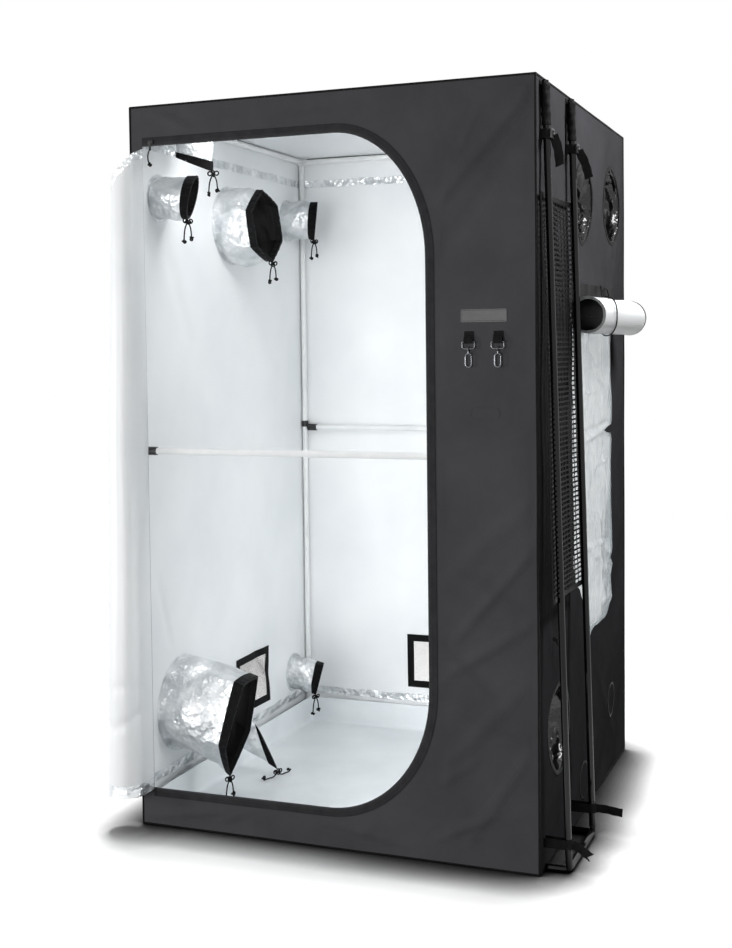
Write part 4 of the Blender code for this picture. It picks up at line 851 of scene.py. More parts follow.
# %% Drawcords
CORD, TRAY_TOP = 0.0042, 0.0050


def curve_through(name, stops, radius, cyclic=False, resolution=5):
    """A round cord through some points."""
    cord = begin(bpy.ops.curve.primitive_bezier_curve_add, name)
    cord.data.dimensions = "3D"
    spline = cord.data.splines[0]
    spline.bezier_points.add(len(stops) - 2)
    for point, stop in zip(spline.bezier_points, stops):
        point.co = stop
        point.handle_left_type = point.handle_right_type = "AUTO"
    spline.use_cyclic_u = cyclic
    cord.data.resolution_u = resolution
    cord.data.bevel_depth = radius
    cord.data.bevel_resolution = 2
    cord.data.use_fill_caps = True
    return cord


def as_mesh(cord):
    """Turn a curve into a mesh."""
    only(cord)
    bpy.ops.object.convert(target="MESH")
    return bpy.context.object


def small_knot(name, middle, size, seed, body="tent"):
    """An overhand knot: one cord that goes over and under itself three times."""
    turn = Euler((0.6 * seed, 1.1 * seed, 0.4 * seed)).to_matrix()
    stops = []
    for angle in [ROUND * step / 18 for step in range(18)]:
        spot = Vector((math.sin(angle) + 2 * math.sin(2 * angle), math.cos(angle) - 2 * math.cos(2 * angle),
                       -1.3 * math.sin(3 * angle)))
        stops.append(Vector(middle) + turn @ spot * size / 3.0)
    return in_webbing(as_mesh(curve_through(name, stops, CORD / 2, cyclic=True, resolution=3)), 35.0, body)


def limp_cord(name, stops, knot=None, body="tent"):
    """A free end of limp cord; knot is the name, place, size and seed of the knot that it ends in."""
    cord = curve_through(name, stops, CORD / 2)
    knots = [small_knot(*knot, body)] if knot else []
    in_webbing(cord, body=body)


def bow(name, top, away, seed):
    """A bow below a point: knot, two loops, and two ends with a small knot each; away is its plane."""
    away, down = Vector(away).normalized(), Vector((0, 0, -1))
    middle = Vector(top) + down * 0.006
    middle.z = max(middle.z, TRAY_TOP + 0.014)
    small_knot(name + "_knot", middle, 0.0092, seed)
    loops = []
    for sign in (-1, 1):
        stops = [middle + away * (sign * reach) + down * fall for reach, fall in
                 ((0.002, 0.0), (0.011, -0.007), (0.018, -0.002), (0.012, 0.005), (0.003, 0.001))]
        loops.append(as_mesh(curve_through(name + "_loop", stops, CORD / 2)))
    in_webbing(join(loops, name + "_loops"), 35.0)
    for number, (sign, length) in enumerate(((-1, 0.058), (1, 0.048))):
        start = middle + down * 0.004 + away * (sign * 0.003)
        stops = []
        for spread, fall in ((0.0, 0.0), (0.14, 0.30), (0.20, 0.62), (0.22, 0.96)):
            drop = fall * length
            along = max(0.0, TRAY_TOP + CORD / 2 - (start.z - drop))
            stops.append(start + away * (sign * (spread * length + along)) + down * (drop - along))
        spot = Vector((stops[-1].x, stops[-1].y, max(stops[-1].z, TRAY_TOP + 0.0085)))
        limp_cord(f"{name}_end_{number + 1}", stops,
                  (f"{name}_end_knot_{number + 1}", spot, 0.0064, seed + number))


for number, (name, cuff) in enumerate(cuffs.items()):
    points = points_of(cuff)
    away = (1, 0, 0) if PORTS[name][0] == "roof" else (0.35, 0.94, 0)
    bow("drawcord_" + name, points[points[:, 2].argmin()], away, 1 + number)
print("drawcords", len(cuffs))

# %% [markdown]
# The door is rolled up outwards and hangs from its seam at the left of the doorway. From above, its cloth
# runs straight out from the seam and then winds inwards three times. The roll is fat at the foot and slim at
# the top, where its edge falls away from the seam. Its white lining is outside, and foil hems close both ends.

# %% Rolled door
SEAM_X, SEAM_Y = DOOR_LEFT - SET_BACK, -HALF - SEAM
ROLL, TOP_ROLL, ROLL_PITCH, ROLL_TURNS, ROLL_STAND = 0.0559, 0.0355, 0.0080, 3.0, 0.0615
ROLL_FOOT, ROLL_TOP, TOP_FALL, DOOR_HEM = 0.108, 1.980, 0.35, 0.030


def winding(start, radius, pitch, turns):
    """A straight start of that length and then a spiral inwards, as points around the roll's middle."""
    path = [(radius, start * (1.0 - step / 12)) for step in range(12)]
    for step in range(261):
        angle = ROUND * turns * step / 260
        out = radius - pitch * turns * step / 260
        path.append((out * math.cos(angle), -out * math.sin(angle)))
    return np.array(path)


def roll_folds(angle, along, seed, depth):
    """Soft ridges along a roll, the same for every layer, so that the layers stay apart."""
    draw = np.random.default_rng(seed)
    total = np.zeros_like(along)
    for ridges in (2, 3, 5, 8):
        wave = np.sin(ridges * angle + draw.uniform(0, ROUND) + along * draw.uniform(-4, 4))
        total += wave * depth / ridges ** 0.7
    return total


door_path = winding(ROLL_STAND, ROLL, ROLL_PITCH, ROLL_TURNS)


def door_form(u, v):
    """The rolled door: across the cloth with u from its free edge to the seam, upwards with v."""
    flat = along_path(door_path, 1.0 - u)
    z = ROLL_FOOT + v * (ROLL_TOP - ROLL_FOOT)
    angle = np.arctan2(flat[:, 1], flat[:, 0])
    held = fading((1.0 - u) * 0.889, 0.012, 0.07)
    for _ in range(2):      # The slant of the top depends on x and y, and they on z: so twice round.
        size = 1.0 + (TOP_ROLL / ROLL - 1.0) * (z - ROLL_FOOT) / (ROLL_TOP - ROLL_FOOT)
        fold = roll_folds(angle, z, 12, 0.0012) + 0.0016 * np.sin(z * 9 + angle)
        kink = 0.0045 * np.exp(-((z - 0.330 - 0.03 * np.sin(angle + 1.0)) / 0.016) ** 2)
        kink = kink + 0.0035 * np.exp(-((z - 0.405 - 0.03 * np.sin(angle + 2.5)) / 0.013) ** 2)
        out = 1.0 + (fold - kink) * held / ROLL
        x = (flat[:, 0] * out - ROLL - 0.0016) * size
        y = (flat[:, 1] * out - ROLL_STAND) * size
        z = ROLL_FOOT + v * (ROLL_TOP + x + y * TOP_FALL - ROLL_FOOT)
    x = x + 0.004 * held * np.sin(z * 3.1) * (1.0 - v) + 0.0040 * (1.0 - held)
    return np.stack([SEAM_X + x, SEAM_Y + y, z], axis=1)


def in_top_hem(face):
    """Whether a face of the door is in the hem along its slanting top."""
    spot = face.center
    return spot.z > ROLL_TOP + (spot.x - SEAM_X) + (spot.y - SEAM_Y) * TOP_FALL - DOOR_HEM


door = cloth_grid("rolled_door", 300, 150, door_form)
dress(door, "door", "white_lining", lining, oxford, silver_foil, silver_foil)
paint(door, lambda face: face.center.z < ROLL_FOOT + 0.034, 2)
paint(door, in_top_hem, 2)
soften(thicken(door, 0.0020, lined=True), 60.0)
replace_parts(door, "door_roll")

# %% [markdown]
# The window's cover is wound the same way round its own middle, with its black side inwards, and hangs
# from a header sewn above the window. A cord is tied round it. The window itself is a milky film, sewn behind
# the hole: it is slack, and shows long soft dents.

# %% Window cover and film
COVER, COVER_PITCH, COVER_TURNS, HEADER = 0.0538, 0.0030, 3.0, 0.096
COVER_FRONT, COVER_REAR, COVER_Z = -0.230, 0.405, 1.486
COVER_X = HALF + SEAM + 0.055
TIE_RADIUS, COVER_HEM, FILM_LAP = 0.0588, 0.0535, 0.016
cover_path = winding(HEADER, COVER, COVER_PITCH, COVER_TURNS)


def tie_place(angle):
    """How far back the tie cord lies, at an angle round the rolled cover."""
    return -0.110 + 0.24 * np.abs(angle / 2.2) ** 1.5


def cover_form(u, v):
    """The rolled cover: across the cloth with u from its inner edge to its header, to the rear with v."""
    flat = along_path(cover_path, 1.0 - u)
    angle = np.arctan2(flat[:, 1], flat[:, 0])
    y = COVER_FRONT + v * (COVER_REAR - COVER_FRONT)
    held = fading((1.0 - u) * 1.11, 0.06, 0.15)
    fold = roll_folds(angle, y, 5, 0.0007) + 0.0010 * np.sin(y * 21 + angle) + 0.003 * fading(v, 0.5, 1.0)
    dent = 0.0030 * np.exp(-((y - tie_place(np.arctan2(flat[:, 1], -flat[:, 0]))) / 0.012) ** 2)
    out = 1.0 + (fold - dent) * held / COVER
    ripple = 0.0022 * (1.0 - held) * np.sin(y * 46 + 1.0) * np.clip(flat[:, 1] / HEADER, 0.0, 0.75)
    x = np.maximum(COVER_X - flat[:, 0] * out + ripple, HALF + 0.0012)
    return np.stack([x, y, COVER_Z + flat[:, 1] * np.where(held > 0.01, out, 1.0)], axis=1)


cover = cloth_grid("rolled_window_cover", 260, 84, cover_form)
dress(cover, "tent", "white_lining", lining, black_lining, webbing, webbing)
paint(cover, lambda face: face.center.y > COVER_REAR - 0.007, 2)
soften(thicken(cover, 0.0012, lined=True), 60.0)
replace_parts(cover, "window_roll")


def by_cover(out, y, up):
    """A point that far out from the wall and up from the rolled cover's middle."""
    return (HALF + out, y, COVER_Z + up)


tie_stops = [by_cover(0.003, 0.232, 0.080), by_cover(0.007, 0.190, 0.098), by_cover(0.016, 0.152, 0.083)]
tie_stops += [(COVER_X + TIE_RADIUS * math.cos(angle), float(tie_place(angle)),
               COVER_Z + TIE_RADIUS * math.sin(angle))
              for angle in np.linspace(math.radians(112), math.radians(-150), 15)]
limp_cord("window_tie", tie_stops)
tail_stops = [by_cover(0.0045, 0.226, 0.082), by_cover(0.010, 0.252, 0.092), by_cover(0.012, 0.276, 0.078),
              by_cover(0.014, 0.284, 0.056)]
limp_cord("window_tie_end", tail_stops, ("window_tie_knot", tail_stops[-1], 0.0052, 4))
hem_stops = [(COVER_X + COVER_HEM * math.cos(angle), COVER_REAR + 0.0010 * math.sin(9 * angle),
              COVER_Z + COVER_HEM * math.sin(angle))
             for angle in np.linspace(math.radians(120), math.radians(-200), 26)]
in_webbing(as_mesh(curve_through("cover_hem", hem_stops, 0.0021)), 35.0)


def film_form(u, v):
    """The slack film behind the window hole."""
    y = WINDOW_FRONT - FILM_LAP + u * (WINDOW_REAR - WINDOW_FRONT + 2 * FILM_LAP)
    z = WINDOW_BOTTOM - FILM_LAP + v * (WINDOW_TOP - WINDOW_BOTTOM + 2 * FILM_LAP)
    slack = creased(swell(y, z, 61, 0.16, 0.0030) + swell(y, z, 62, 0.06, 0.0010), y, z, (
        (-0.22, 1.10, 0.44, 1.135, 0.010, -0.0085), (-0.22, 1.12, 0.44, 1.155, 0.008, 0.0050),
        (0.02, 1.32, 0.26, 1.33, 0.006, -0.0050), (0.00, 1.25, 0.24, 1.26, 0.005, -0.0045),
        (0.20, 1.02, 0.40, 1.03, 0.004, -0.0040), (0.04, 0.775, 0.34, 0.765, 0.006, -0.0060),
        (0.05, 1.40, 0.36, 1.22, 0.010, -0.0040), (0.10, 0.95, 0.38, 1.10, 0.012, 0.0040),
        (0.00, 0.80, 0.39, 0.66, 0.012, -0.0045)))
    edge = np.minimum(np.minimum(u, 1 - u) * 0.63, np.minimum(v, 1 - v) * 1.09)
    x = HALF - 0.0030 - fading(edge, 0.008, 0.06) * (0.006 + slack)
    return np.stack([x + side_relief(y, z) * (1.0 - fading(edge, 0.01, 0.04)), y, z], axis=1)


window = cloth_grid("window_film_sheet", 110, 180, film_form)
dress(window, "tent", "window_film", film)
soften(thicken(window, 0.0006), 60.0)
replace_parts(window, "window_film")

# %% [markdown]
# Each vent is a fine screen in a frame of webbing, sewn to the inside of the wall. The frame is a grid with
# its middle faces deleted. The screen is a finer grid turned into strands by a wireframe modifier.

# %% Vents
MESH, VENT_DEPTH = 0.0040, 0.0030


def vent_form(side, wide, tall):
    """A rectangle just inside a wall, following its wrinkles."""
    first, second = VENTS[side]
    return lambda u, v: lay_on(side, first + (u - 0.5) * wide, second + (v - 0.5) * tall, -VENT_DEPTH)


for side, (first, second) in VENTS.items():
    border = cloth_grid("vent_frame_" + side, 51, 39, vent_form(side, VENT_WIDTH, VENT_HEIGHT))
    axis = 1 if side == "left" else 0
    choose(border, "FACE", lambda face: (abs(face.center[axis] - first) < VENT_WIDTH / 2 - VENT_BORDER
                                         and abs(face.center.z - second) < VENT_HEIGHT / 2 - VENT_BORDER))
    edit(border, lambda: bpy.ops.mesh.delete(type="FACE"), everything=False)
    in_webbing(thicken(border, 0.0016, 0.0))
    print(border.name, len(border.data.polygons), "faces")
    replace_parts(border, "vent_left" if side == "left" else "vent_rear")
    wide, tall = VENT_WIDTH - 2 * VENT_BORDER + 0.008, VENT_HEIGHT - 2 * VENT_BORDER + 0.008
    screen = cloth_grid("vent_screen_" + side, round(wide / MESH), round(tall / MESH), vent_form(side, wide, tall))
    modify(screen, "WIREFRAME", thickness=0.0010, use_even_offset=False)
    dress(screen, "tent", "net", net_finish)
print("vents", list(VENTS))

# %% [markdown]
# The tray is one loose sheet of white liner. Its middle lies on the floor and its rim is folded up inside
# the posts. Every point of the flat sheet is either on the floor, in the bend, or up the wall, and near a corner
# the walls follow a round corner.

# %% Floor tray
TRAY_HALF, TRAY_RISE, TRAY_BEND, TRAY_ROUND = 0.5742, 0.092, 0.008, 0.014


def tray_form(u, v):
    """A flat square sheet folded up at its rim."""
    reach = TRAY_HALF + TRAY_RISE - 0.0034
    a, b = (2 * u - 1) * reach, (2 * v - 1) * reach
    out = np.maximum(np.abs(a), np.abs(b))
    flat_end, arc = TRAY_HALF - TRAY_BEND, TRAY_BEND * QUARTER
    turn = np.clip((out - flat_end) / arc, 0.0, 1.0) * QUARTER
    way = np.where(out < flat_end, out, flat_end + TRAY_BEND * np.sin(turn))
    rise = TRAY_BEND * (1 - np.cos(turn)) + np.maximum(out - flat_end - arc, 0.0)
    x, y = a * way / np.maximum(out, 0.001), b * way / np.maximum(out, 0.001)
    corner_x = np.maximum(np.abs(x) - way + TRAY_ROUND, 0.0)
    corner_y = np.maximum(np.abs(y) - way + TRAY_ROUND, 0.0)
    in_corner = (corner_x > 0) & (corner_y > 0) & (out > flat_end - 0.03)
    pull = np.minimum(1.0, TRAY_ROUND / np.maximum(np.hypot(corner_x, corner_y), 0.00001))
    x = np.where(in_corner, np.sign(x) * (way - TRAY_ROUND + corner_x * pull), x)
    y = np.where(in_corner, np.sign(y) * (way - TRAY_ROUND + corner_y * pull), y)
    upright = fading(rise, 0.010, 0.06)
    sway = (swell(x, y, 71, 0.22, 0.0014) - 0.0018) * upright
    lift = np.abs(swell(a, b, 72, 0.20, 0.0012)) * (1.0 - upright) * fading(TRAY_HALF - out, 0.0, 0.05)
    return np.stack([x * (1 + sway / TRAY_HALF), y * (1 + sway / TRAY_HALF), 0.0020 + rise + lift], axis=1)


tray = cloth_grid("floor_liner_tray", 150, 150, tray_form)
dress(tray, "tent", "floor_liner", liner)
soften(thicken(tray, 0.0012, 1.0), 60.0)
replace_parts(tray, "floor_tray")

# %% [markdown]
# Each mid bar is a white tube with a black fitting at either end: a socket that holds the bar, and a clip
# that snaps round the post from inside. The clip is open on its outer side, so it is a bent strip.

# %% Mid bars
POST, BAR_Z, TUBE = 0.5857, 1.106, 0.0095
CLIP_RADIUS, CLIP_TALL, CLIP_WALL, CLIP_MOUTH = 0.0098, 0.022, 0.0025, math.radians(35.0)


def clip_form(middle, start):
    """An upright strip bent round an upright tube, from one side of its mouth to the other."""
    def form(u, v):
        angle = start + CLIP_MOUTH + (ROUND - 2 * CLIP_MOUTH) * u
        return np.stack([middle[0] + CLIP_RADIUS * np.cos(angle), middle[1] + CLIP_RADIUS * np.sin(angle),
                         middle[2] + (v - 0.5) * CLIP_TALL], axis=1)
    return form


for end, y, offset, start in (("front", -POST, -0.013, -QUARTER), ("rear", POST, 0.013, QUARTER)):
    bar = straight_tube(end + "_mid_bar_tube", (-POST + 0.016, y, BAR_Z), (POST - 0.016, y, BAR_Z), TUBE, 48)
    dress(soften(bar), end + "_mid_bar", "white_steel", white_steel)
    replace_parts(bar, end + "_mid_bar")
    fittings = []
    for sign in (-1, 1):
        socket = straight_tube("socket", (sign * (POST - 0.012), y, BAR_Z), (sign * (POST - 0.048), y, BAR_Z),
                               0.0123, 40)
        fittings.append(modify(socket, "BEVEL", width=0.0012, segments=3, limit_method="ANGLE"))
        clip = cloth_grid("clip", 48, 2, clip_form((sign * POST, y, BAR_Z + offset), start))
        fittings.append(modify(thicken(clip, CLIP_WALL, 1.0), "BEVEL", width=0.0006, segments=2,
                               limit_method="ANGLE"))
    dress(soften(join(fittings, end + "_bar_fittings")), end + "_mid_bar", "black_plastic", black_nylon)

# %% [markdown]
# On the front, to the right of the doorway, are two webbing tabs that hold the D-rings, a blank label and a
# blank oval tag. A tab is one strip that comes down from the cloth, passes round the ring's bar and goes back
# up behind itself. The label and tag are thin blocks with bevelled edges, pressed to the wall's wrinkles.

# %% Tabs, label and tag
RING_BAR_Y, RING_BAR_Z, TAB_ROUND = -0.6080, 1.412, 0.0034


def webbing_strip(name, path, width, across, thickness, wave=0.0, steps=40):
    """A woven strip along a path, its width spread along one direction, with a slight wave."""
    def form(u, v):
        ripple = wave * np.sin(v * 17.0 + u * 2.0)
        return (along_path(path, v) + ((u - 0.5) * width)[:, None] * np.array(across, dtype=float)
                + ripple[:, None] * np.array((0.6, 0.6, 0.2)))
    return in_webbing(thicken(cloth_grid(name, 6, steps, form), thickness, 0.0), 50.0)


for number, x in enumerate((0.417, 0.497)):
    around = [(x, RING_BAR_Y + TAB_ROUND * math.cos(angle), RING_BAR_Z + TAB_ROUND * math.sin(angle))
              for angle in np.linspace(math.radians(160), math.radians(380), 12)]
    path = [(x, -0.6020, 1.440), (x, -0.6026, 1.432), (x, -0.6105, 1.418)] + around + [(x, -0.6022, 1.4225)]
    webbing_strip(f"ring_tab_{number + 1}", path, 0.025, (1, 0, 0), 0.0014)


def pressed_plate(name, centre, wide, tall, radius, proud, material, slot):
    """A thin blank plate with rounded corners and a raised rim, on the front."""
    plate = wall_block("front", wide, tall, radius)
    plate.name = name
    plate.scale = (1.0, 1.0, proud / CUTTER_DEPTH)
    plate.location = on_wall("front", *centre, proud / 2)
    settle(plate)
    choose(plate, "FACE", lambda face: face.normal.y < -0.9)
    edit(plate, lambda: bpy.ops.mesh.inset(thickness=0.0025, depth=0.0),
         lambda: bpy.ops.mesh.inset(thickness=0.0010, depth=-0.0005), everything=False)
    dress(wrinkle(plate, "front"), "tent", slot, material)


pressed_plate("blank_label", (0.457, 1.481), 0.124, 0.034, 0.003, 0.0012, black_nylon, "black_plastic")
pressed_plate("blank_tag", (0.459, 1.223), 0.082, 0.032, 0.0155, 0.0010, oxford, "oxford_cloth")

# %% [markdown]
# The rack outside is two black poles that lean a little, with a slotted net between them. The net is a grid
# whose cells are each inset, and whose inner faces are then deleted. That leaves strands of even width.

# %% Net of the rack
LEAN = math.atan2(0.0670 - 0.0125, 2.088)
FOOT_X, POLE_FRONT, POLE_REAR = 0.667, -0.550, -0.250
NET_FRONT, NET_REAR, NET_LOW, NET_HIGH = POLE_FRONT - 0.042, POLE_REAR + 0.011, 0.720, 1.800
NET_WIDE, NET_BORDER, SLOT_TALL = NET_REAR - NET_FRONT, 0.012, 0.0135


def lean_x(z, inward=0.0):
    """X of the poles' middle line at a height, moved towards the wall."""
    return FOOT_X - (z - TUBE) * math.tan(LEAN) - inward


def hung(y, z, share, inward):
    """Points of the net, a little slack in its middle; share is how far they are across it."""
    slack = 0.006 * np.sin(math.pi * share) + swell(y, z, 81, 0.25, 0.0015)
    return np.stack([lean_x(z, inward) - slack, y, z], axis=1)


def net_form(u, v):
    """The net between the poles."""
    return hung(NET_FRONT + NET_BORDER + u * (NET_WIDE - 2 * NET_BORDER),
                NET_LOW + NET_BORDER + v * (NET_HIGH - NET_LOW - 2 * NET_BORDER), u, 0.0115)


def net_edge_form(u, v):
    """A flat band of cloth round the net, with v round it and u across the band."""
    low_y, high_y = NET_FRONT + NET_BORDER * u, NET_REAR - NET_BORDER * u
    low_z, high_z = NET_LOW + NET_BORDER * u, NET_HIGH - NET_BORDER * u
    side = np.floor(np.clip(v * 4, 0, 3.9999))
    share = v * 4 - side
    run_y, run_z = (high_y - low_y) * share, (high_z - low_z) * share
    sides = [side == 0, side == 1, side == 2]
    y = np.select(sides, [low_y + run_y, high_y, high_y - run_y], low_y)
    z = np.select(sides, [low_z, low_z + run_z, high_z], high_z - run_z)
    return hung(y, z, (y - NET_FRONT) / NET_WIDE, 0.0110)


net = cloth_grid("slotted_net", 10, round((NET_HIGH - NET_LOW - 2 * NET_BORDER) / SLOT_TALL), net_form)
edit(net, lambda: bpy.ops.mesh.inset(use_individual=True, thickness=0.0024),
     lambda: bpy.ops.mesh.delete(type="FACE"))
thicken(net, 0.0012, 0.0)
whole_net = join([net, thicken(cloth_grid("net_edge", 3, 240, net_edge_form), 0.0018, 0.0)], "rack_slotted_net")
dress(whole_net, "tent", "net", net_finish)
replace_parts(whole_net, "rack_net")

# %% [markdown]
# A pocket of cloth is sewn to the wall over the top of each pole. Below it a strap goes round the pole,
# through a ladder-lock buckle, and its end hangs down at a slant. Near the floor a loop of webbing holds each
# pole to the wall, and its end sticks out too.

# %% Pockets, straps and buckles
POCKET_TOP, POCKET_LENGTH, STRAP_Z, FOOT_STRAP_Z = 2.0904, 0.118, 1.950, 0.0785


def pocket_form(y):
    """A closed sock over the pole's top: round below, flat where it is sewn shut."""
    def form(u, v):
        angle = u * ROUND
        z = POCKET_TOP - POCKET_LENGTH * (1 - v)
        shut = fading(v, 0.86, 1.0)
        out = 0.0121 + 0.0005 * np.sin(3 * angle + 9 * v) + 0.0006 * np.sin(v * 31)
        across, deep = out * (1 + 0.15 * shut), out * (1 - 0.72 * shut)
        return np.stack([lean_x(z) + deep * np.cos(angle), y + across * np.sin(angle), z], axis=1)
    return form


def buckle_at(name, place):
    """A ladder-lock: a plate with two slots and a raised bar between them."""
    plate = block("plate", (0.0046, 0.034, 0.026))
    for slot_z in (-0.0052, 0.0052):
        cut_out(plate, block("slot", (0.02, 0.026, 0.0042), (0, 0, slot_z)))
    modify(plate, "BEVEL", width=0.0009, segments=3, limit_method="ANGLE")
    bar = straight_tube("buckle_bar", (0.0022, -0.0135, 0.0), (0.0022, 0.0135, 0.0), 0.0022, 16)
    whole = join([plate, bar], name)
    whole.location = place
    whole.rotation_euler = (0, -LEAN, 0)
    dress(soften(settle(whole)), "tent", "black_plastic", black_nylon)


def band_round_pole(name, y, z, radius):
    """A strap from the wall round a pole and back."""
    x = lean_x(z)
    path = [(HALF + 0.001, y - radius, z)]
    path += [(x + radius * math.cos(angle), y + radius * math.sin(angle), z)
             for angle in np.linspace(-QUARTER, QUARTER, 16)]
    path.append((HALF + 0.001, y + radius, z))
    webbing_strip(name, path, 0.025, (0, 0, 1), 0.0018, steps=60)


for end, y, aside in (("front", POLE_FRONT, 0.010), ("rear", POLE_REAR, 0.024)):
    pocket = thicken(cloth_grid("pole_pocket_" + end + "_cloth", 40, 40, pocket_form(y), True), 0.0012)
    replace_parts(in_webbing(pocket, 60.0), "pole_pocket_" + end)
    backing = [(HALF + 0.0012, y, STRAP_Z - 0.012), (HALF + 0.0012, y, POCKET_TOP)]
    webbing_strip("pocket_backing_" + end, backing, 0.026, (0, 1, 0), 0.0016)
    band_round_pole("pole_strap_" + end, y, STRAP_Z, 0.0124)
    buckle = Vector((lean_x(STRAP_Z) + 0.0150, y, STRAP_Z))
    buckle_at("strap_buckle_" + end, buckle)
    drop = [buckle + Vector((0.0020 + aside * share + 0.003 * math.sin(4 * share), 0.004 + 0.038 * share,
                             -0.004 - 0.074 * share)) for share in np.linspace(0, 1, 12)]
    webbing_strip("strap_end_" + end, drop, 0.024, (0.895, 0.212, 0.390), 0.0014, 0.0008)
    band_round_pole("foot_strap_" + end, y, FOOT_STRAP_Z, 0.0116)

foot_x = lean_x(0.078) + 0.0105
for end, y, run, fall, lean in (("front", POLE_FRONT, 0.053, 0.028, 0.469),
                                ("rear", POLE_REAR, 0.078, 0.004, 0.05)):
    path = [(foot_x + run * share, y + 0.004 * math.sin(5 * share), FOOT_STRAP_Z - fall * share)
            for share in np.linspace(0, 1, 14)]
    strip = webbing_strip("foot_strap_end_" + end, path, 0.024, (lean, 0, math.sqrt(1 - lean ** 2)),
                          0.0014, 0.0008)
    if end == "front":      # Its end is cut in a V.
        points = points_of(strip)
        off_middle = np.abs((points - np.array(path[-1])) @ np.array((lean, 0, 0.883))) / 0.010
        near_end = fading(points[:, 0], foot_x + run * 0.6, foot_x + run)
        points[:, 0] -= 0.012 * np.clip(1.0 - off_middle, 0.0, 1.0) * near_end
        move_points(strip, points)
loop_path = [(HALF + 0.002, -0.452, 0.604), (HALF + 0.014, -0.446, 0.596), (HALF + 0.016, -0.440, 0.588),
             (HALF + 0.010, -0.432, 0.590), (HALF + 0.002, -0.430, 0.600)]
webbing_strip("wall_loop", loop_path, 0.010, (0, 0.3, 1), 0.0012, steps=30)

# %% [markdown]
# Two round flaps low on the right wall close cable holes. Inside, strips of foil tape cover the seams of
# the lining: one above and one below on each wall. Both follow the wrinkles of the cloth.

# %% Flaps and seam tapes
FLAP = 0.0548


def disc_form(first, second):
    """A round piece of cloth on the right wall."""
    return lambda u, v: lay_on("right", first + FLAP * v * np.cos(u * ROUND),
                               second + FLAP * v * np.sin(u * ROUND), 0.0008 + 0.0012 * np.cos(v * QUARTER))


for number, (y, z) in enumerate(((0.360, 0.235), (-0.060, 0.095))):
    disc = thicken(cloth_grid(f"port_flap_{number + 1}", 64, 10, disc_form(y, z), True), 0.0010, 0.0)
    dress(soften(disc, 50.0), "tent", "oxford_cloth", oxford)
    binding = ring_form("right", y, z, FLAP, -0.006, 0.002, "round")
    in_webbing(thicken(cloth_grid(f"flap_binding_{number + 1}", 72, 4, binding, True), 0.0012, 0.0), 50.0)


def tape_strip_form(side, low_z):
    """A strip of tape on the inside of a wall."""
    return lambda u, v: lay_on(side, -0.585 + 1.170 * u, low_z + 0.026 * v + 0.0008 * np.sin(u * 40),
                               -0.0026 - 0.0006 * np.sin(u * 55 + v * 3))


strips = [thicken(cloth_grid("tape_strip", 120, 3, tape_strip_form(side, low_z)), 0.0006, 0.0)
          for side in ("left", "back", "right") for low_z in (1.992, 0.104)]
dress(soften(join(strips, "seam_tapes")), "tent", "silver_mylar", silver_foil)

# %% [markdown]
# The slider's cord is the last small piece. It hangs in the slider's pull and ends in a knot.

# %% Slider cord
slider_low, slider_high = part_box("zip_slider")
pull = Vector(((slider_low[0] + slider_high[0]) / 2, slider_low[1] + 0.0010, slider_low[2] + 0.004))
pull_stops = [pull + Vector(away) for away in ((0, 0, 0), (-0.004, -0.003, -0.014), (-0.003, -0.004, -0.034),
                                               (0.001, -0.003, -0.044))]
limp_cord("slider_cord", pull_stops, ("slider_cord_knot", pull_stops[-1], 0.0052, 3), "zip_slider")

# %% [markdown]
# A studio: a pale floor and a white world behind. The camera, and anything that mirrors or shows what is
# behind it, sees the world as plain white; the object itself is lit by a dimmer one, weaker from the right.
# The floor's colour has painted shade close to the tent, where an occlusion node darkens it; the floor also sends
# back less light than it seems to, and fades out between 1.2 m and 3 m from the middle.

# %% Floor and world
ground = begin(bpy.ops.mesh.primitive_plane_add, "floor", size=14.0)
paper, tree, shader, place = new_finish("white_studio_paper", "#FFFFFF", 0.85, Specular_IOR_Level=0.0)
distance = add_node(tree, "VectorMath", {0: place}, operation="LENGTH").outputs["Value"]
far = add_node(tree, "MapRange", {"Value": distance, "From Min": 1.2, "From Max": 3.0}).outputs["Result"]
# Painted shade: where the tent hems the floor in, an occlusion node darkens the paper's colour, a contact shadow
# painted into the floor.
painted_contact_shade = add_node(tree, "AmbientOcclusion", {"Distance": 0.17}, samples=12)
deep = add_node(tree, "Math", {0: painted_contact_shade.outputs["AO"], 1: 4.5}, operation="POWER")
tree.links.new(deep.outputs[0], shader.inputs["Base Color"])
grey = add_node(tree, "BsdfDiffuse", {"Color": linear("#3C3C3C")})
bounce = add_node(tree, "MixShader", {0: add_node(tree, "LightPath").outputs["Is Diffuse Ray"],
                                      1: shader.outputs[0], 2: grey.outputs[0]})
fade = add_node(tree, "MixShader", {0: far, 1: bounce.outputs[0],
                                    2: add_node(tree, "BsdfTransparent").outputs[0]})
tree.links.new(fade.outputs[0], tree.nodes["Material Output"].inputs["Surface"])
ground.data.materials.append(paper)

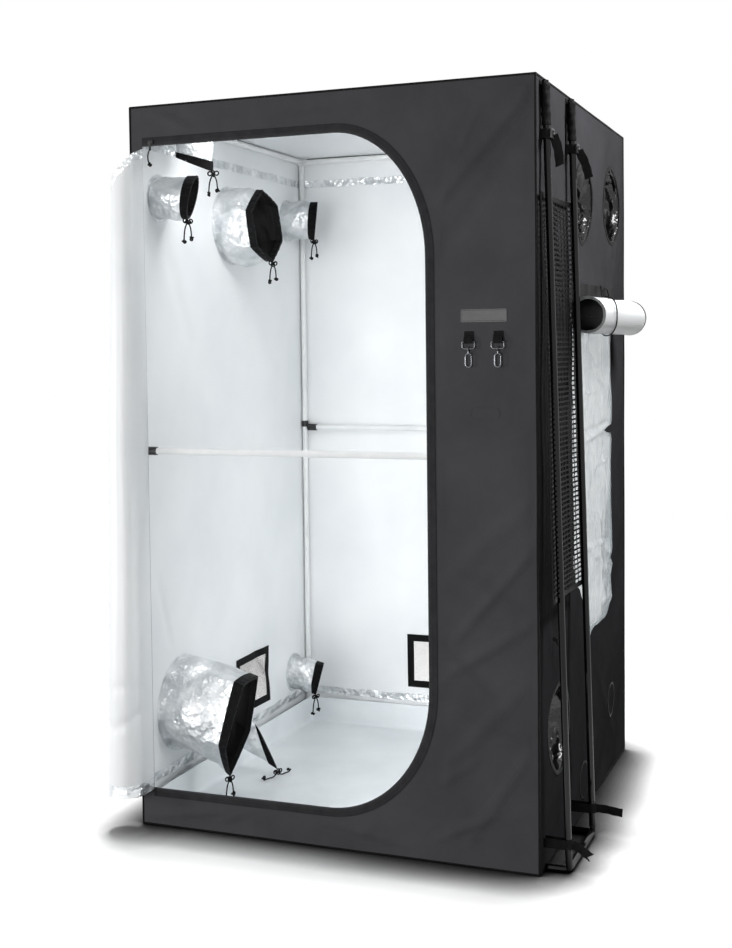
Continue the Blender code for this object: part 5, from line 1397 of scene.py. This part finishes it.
WHITE = (1.0, 1.0, 1.0, 1.0)
world = bpy.data.worlds.new("studio")
bpy.context.scene.world = world
world.use_nodes = True
tree = world.node_tree
heading = add_node(tree, "SeparateXYZ", {"Vector": add_node(tree, "TexCoord").outputs["Generated"]})
from_right = add_node(tree, "MapRange", {"Value": heading.outputs["X"], "From Min": -0.25, "From Max": 0.45,
                                         "To Min": 0.40, "To Max": 0.05}).outputs["Result"]
soft_light = tree.nodes["Background"]
soft_light.inputs["Color"].default_value = WHITE
tree.links.new(from_right, soft_light.inputs["Strength"])
backdrop = add_node(tree, "Background", {"Color": WHITE, "Strength": 1.0})
rays = add_node(tree, "LightPath")
seen = add_node(tree, "Math", {0: rays.outputs["Is Camera Ray"], 1: rays.outputs["Is Transmission Ray"]},
                operation="MAXIMUM")
seen = add_node(tree, "Math", {0: seen.outputs[0], 1: rays.outputs["Is Glossy Ray"]}, operation="MAXIMUM")
mix = add_node(tree, "MixShader", {0: seen.outputs[0], 1: soft_light.outputs[0], 2: backdrop.outputs[0]})
tree.links.new(mix.outputs[0], tree.nodes["World Output"].inputs["Surface"])

# %% [markdown]
# The key is a sun, high and a little behind, so that the shadow falls short. Soft lamps at the left, in
# front and above the right help it. Two small ones light the white inside, and a narrow strip in front draws
# a bright line down each black pole. Each row has the lamp's place, its target, its width and height in
# metres, and its power in watts.

# %% Lamps
SUN_FROM = Vector((-0.09, 0.42, 3.0))
LAMPS = {
    "key_left": ((-3.7, -3.0, 1.0), (-0.2, -0.5, 1.0), 0.9, 1.4, 62.0),
    "front": ((-0.6, -5.2, 0.9), (-0.1, 0.0, 1.0), 1.8, 1.4, 98.0),
    "right_top": ((1.7, -0.2, 3.0), (0.6, 0.1, 2.0), 0.7, 0.7, 46.0),
    "inside": ((0.49, -0.50, 0.52), (-0.50, 0.30, 0.42), 0.16, 0.76, 3.8),
    "inside_top": ((-0.05, -0.40, 2.04), (0.0, 0.05, 0.0), 0.90, 0.22, 4.4),
    "edge_light": ((2.4, -5.0, 1.3), (0.65, -0.4, 1.1), 0.03, 2.4, 12.0),
}


def aim(light, heading):
    """Turn a light to shine along a direction."""
    light.rotation_euler = heading.to_track_quat("-Z", "Y").to_euler()


sun = begin(bpy.ops.object.light_add, "key", type="SUN", location=(-3.0, -4.0, 5.0))
sun.data.energy = 2.9
sun.data.angle = math.radians(11.0)
aim(sun, -SUN_FROM)
for name, (spot, target, wide, tall, power) in LAMPS.items():
    light = begin(bpy.ops.object.light_add, name, type="AREA", location=spot)
    light.data.shape = "RECTANGLE"
    light.data.size, light.data.size_y = wide, tall
    light.data.energy = power
    light.visible_camera = False
    aim(light, Vector(target) - Vector(spot))
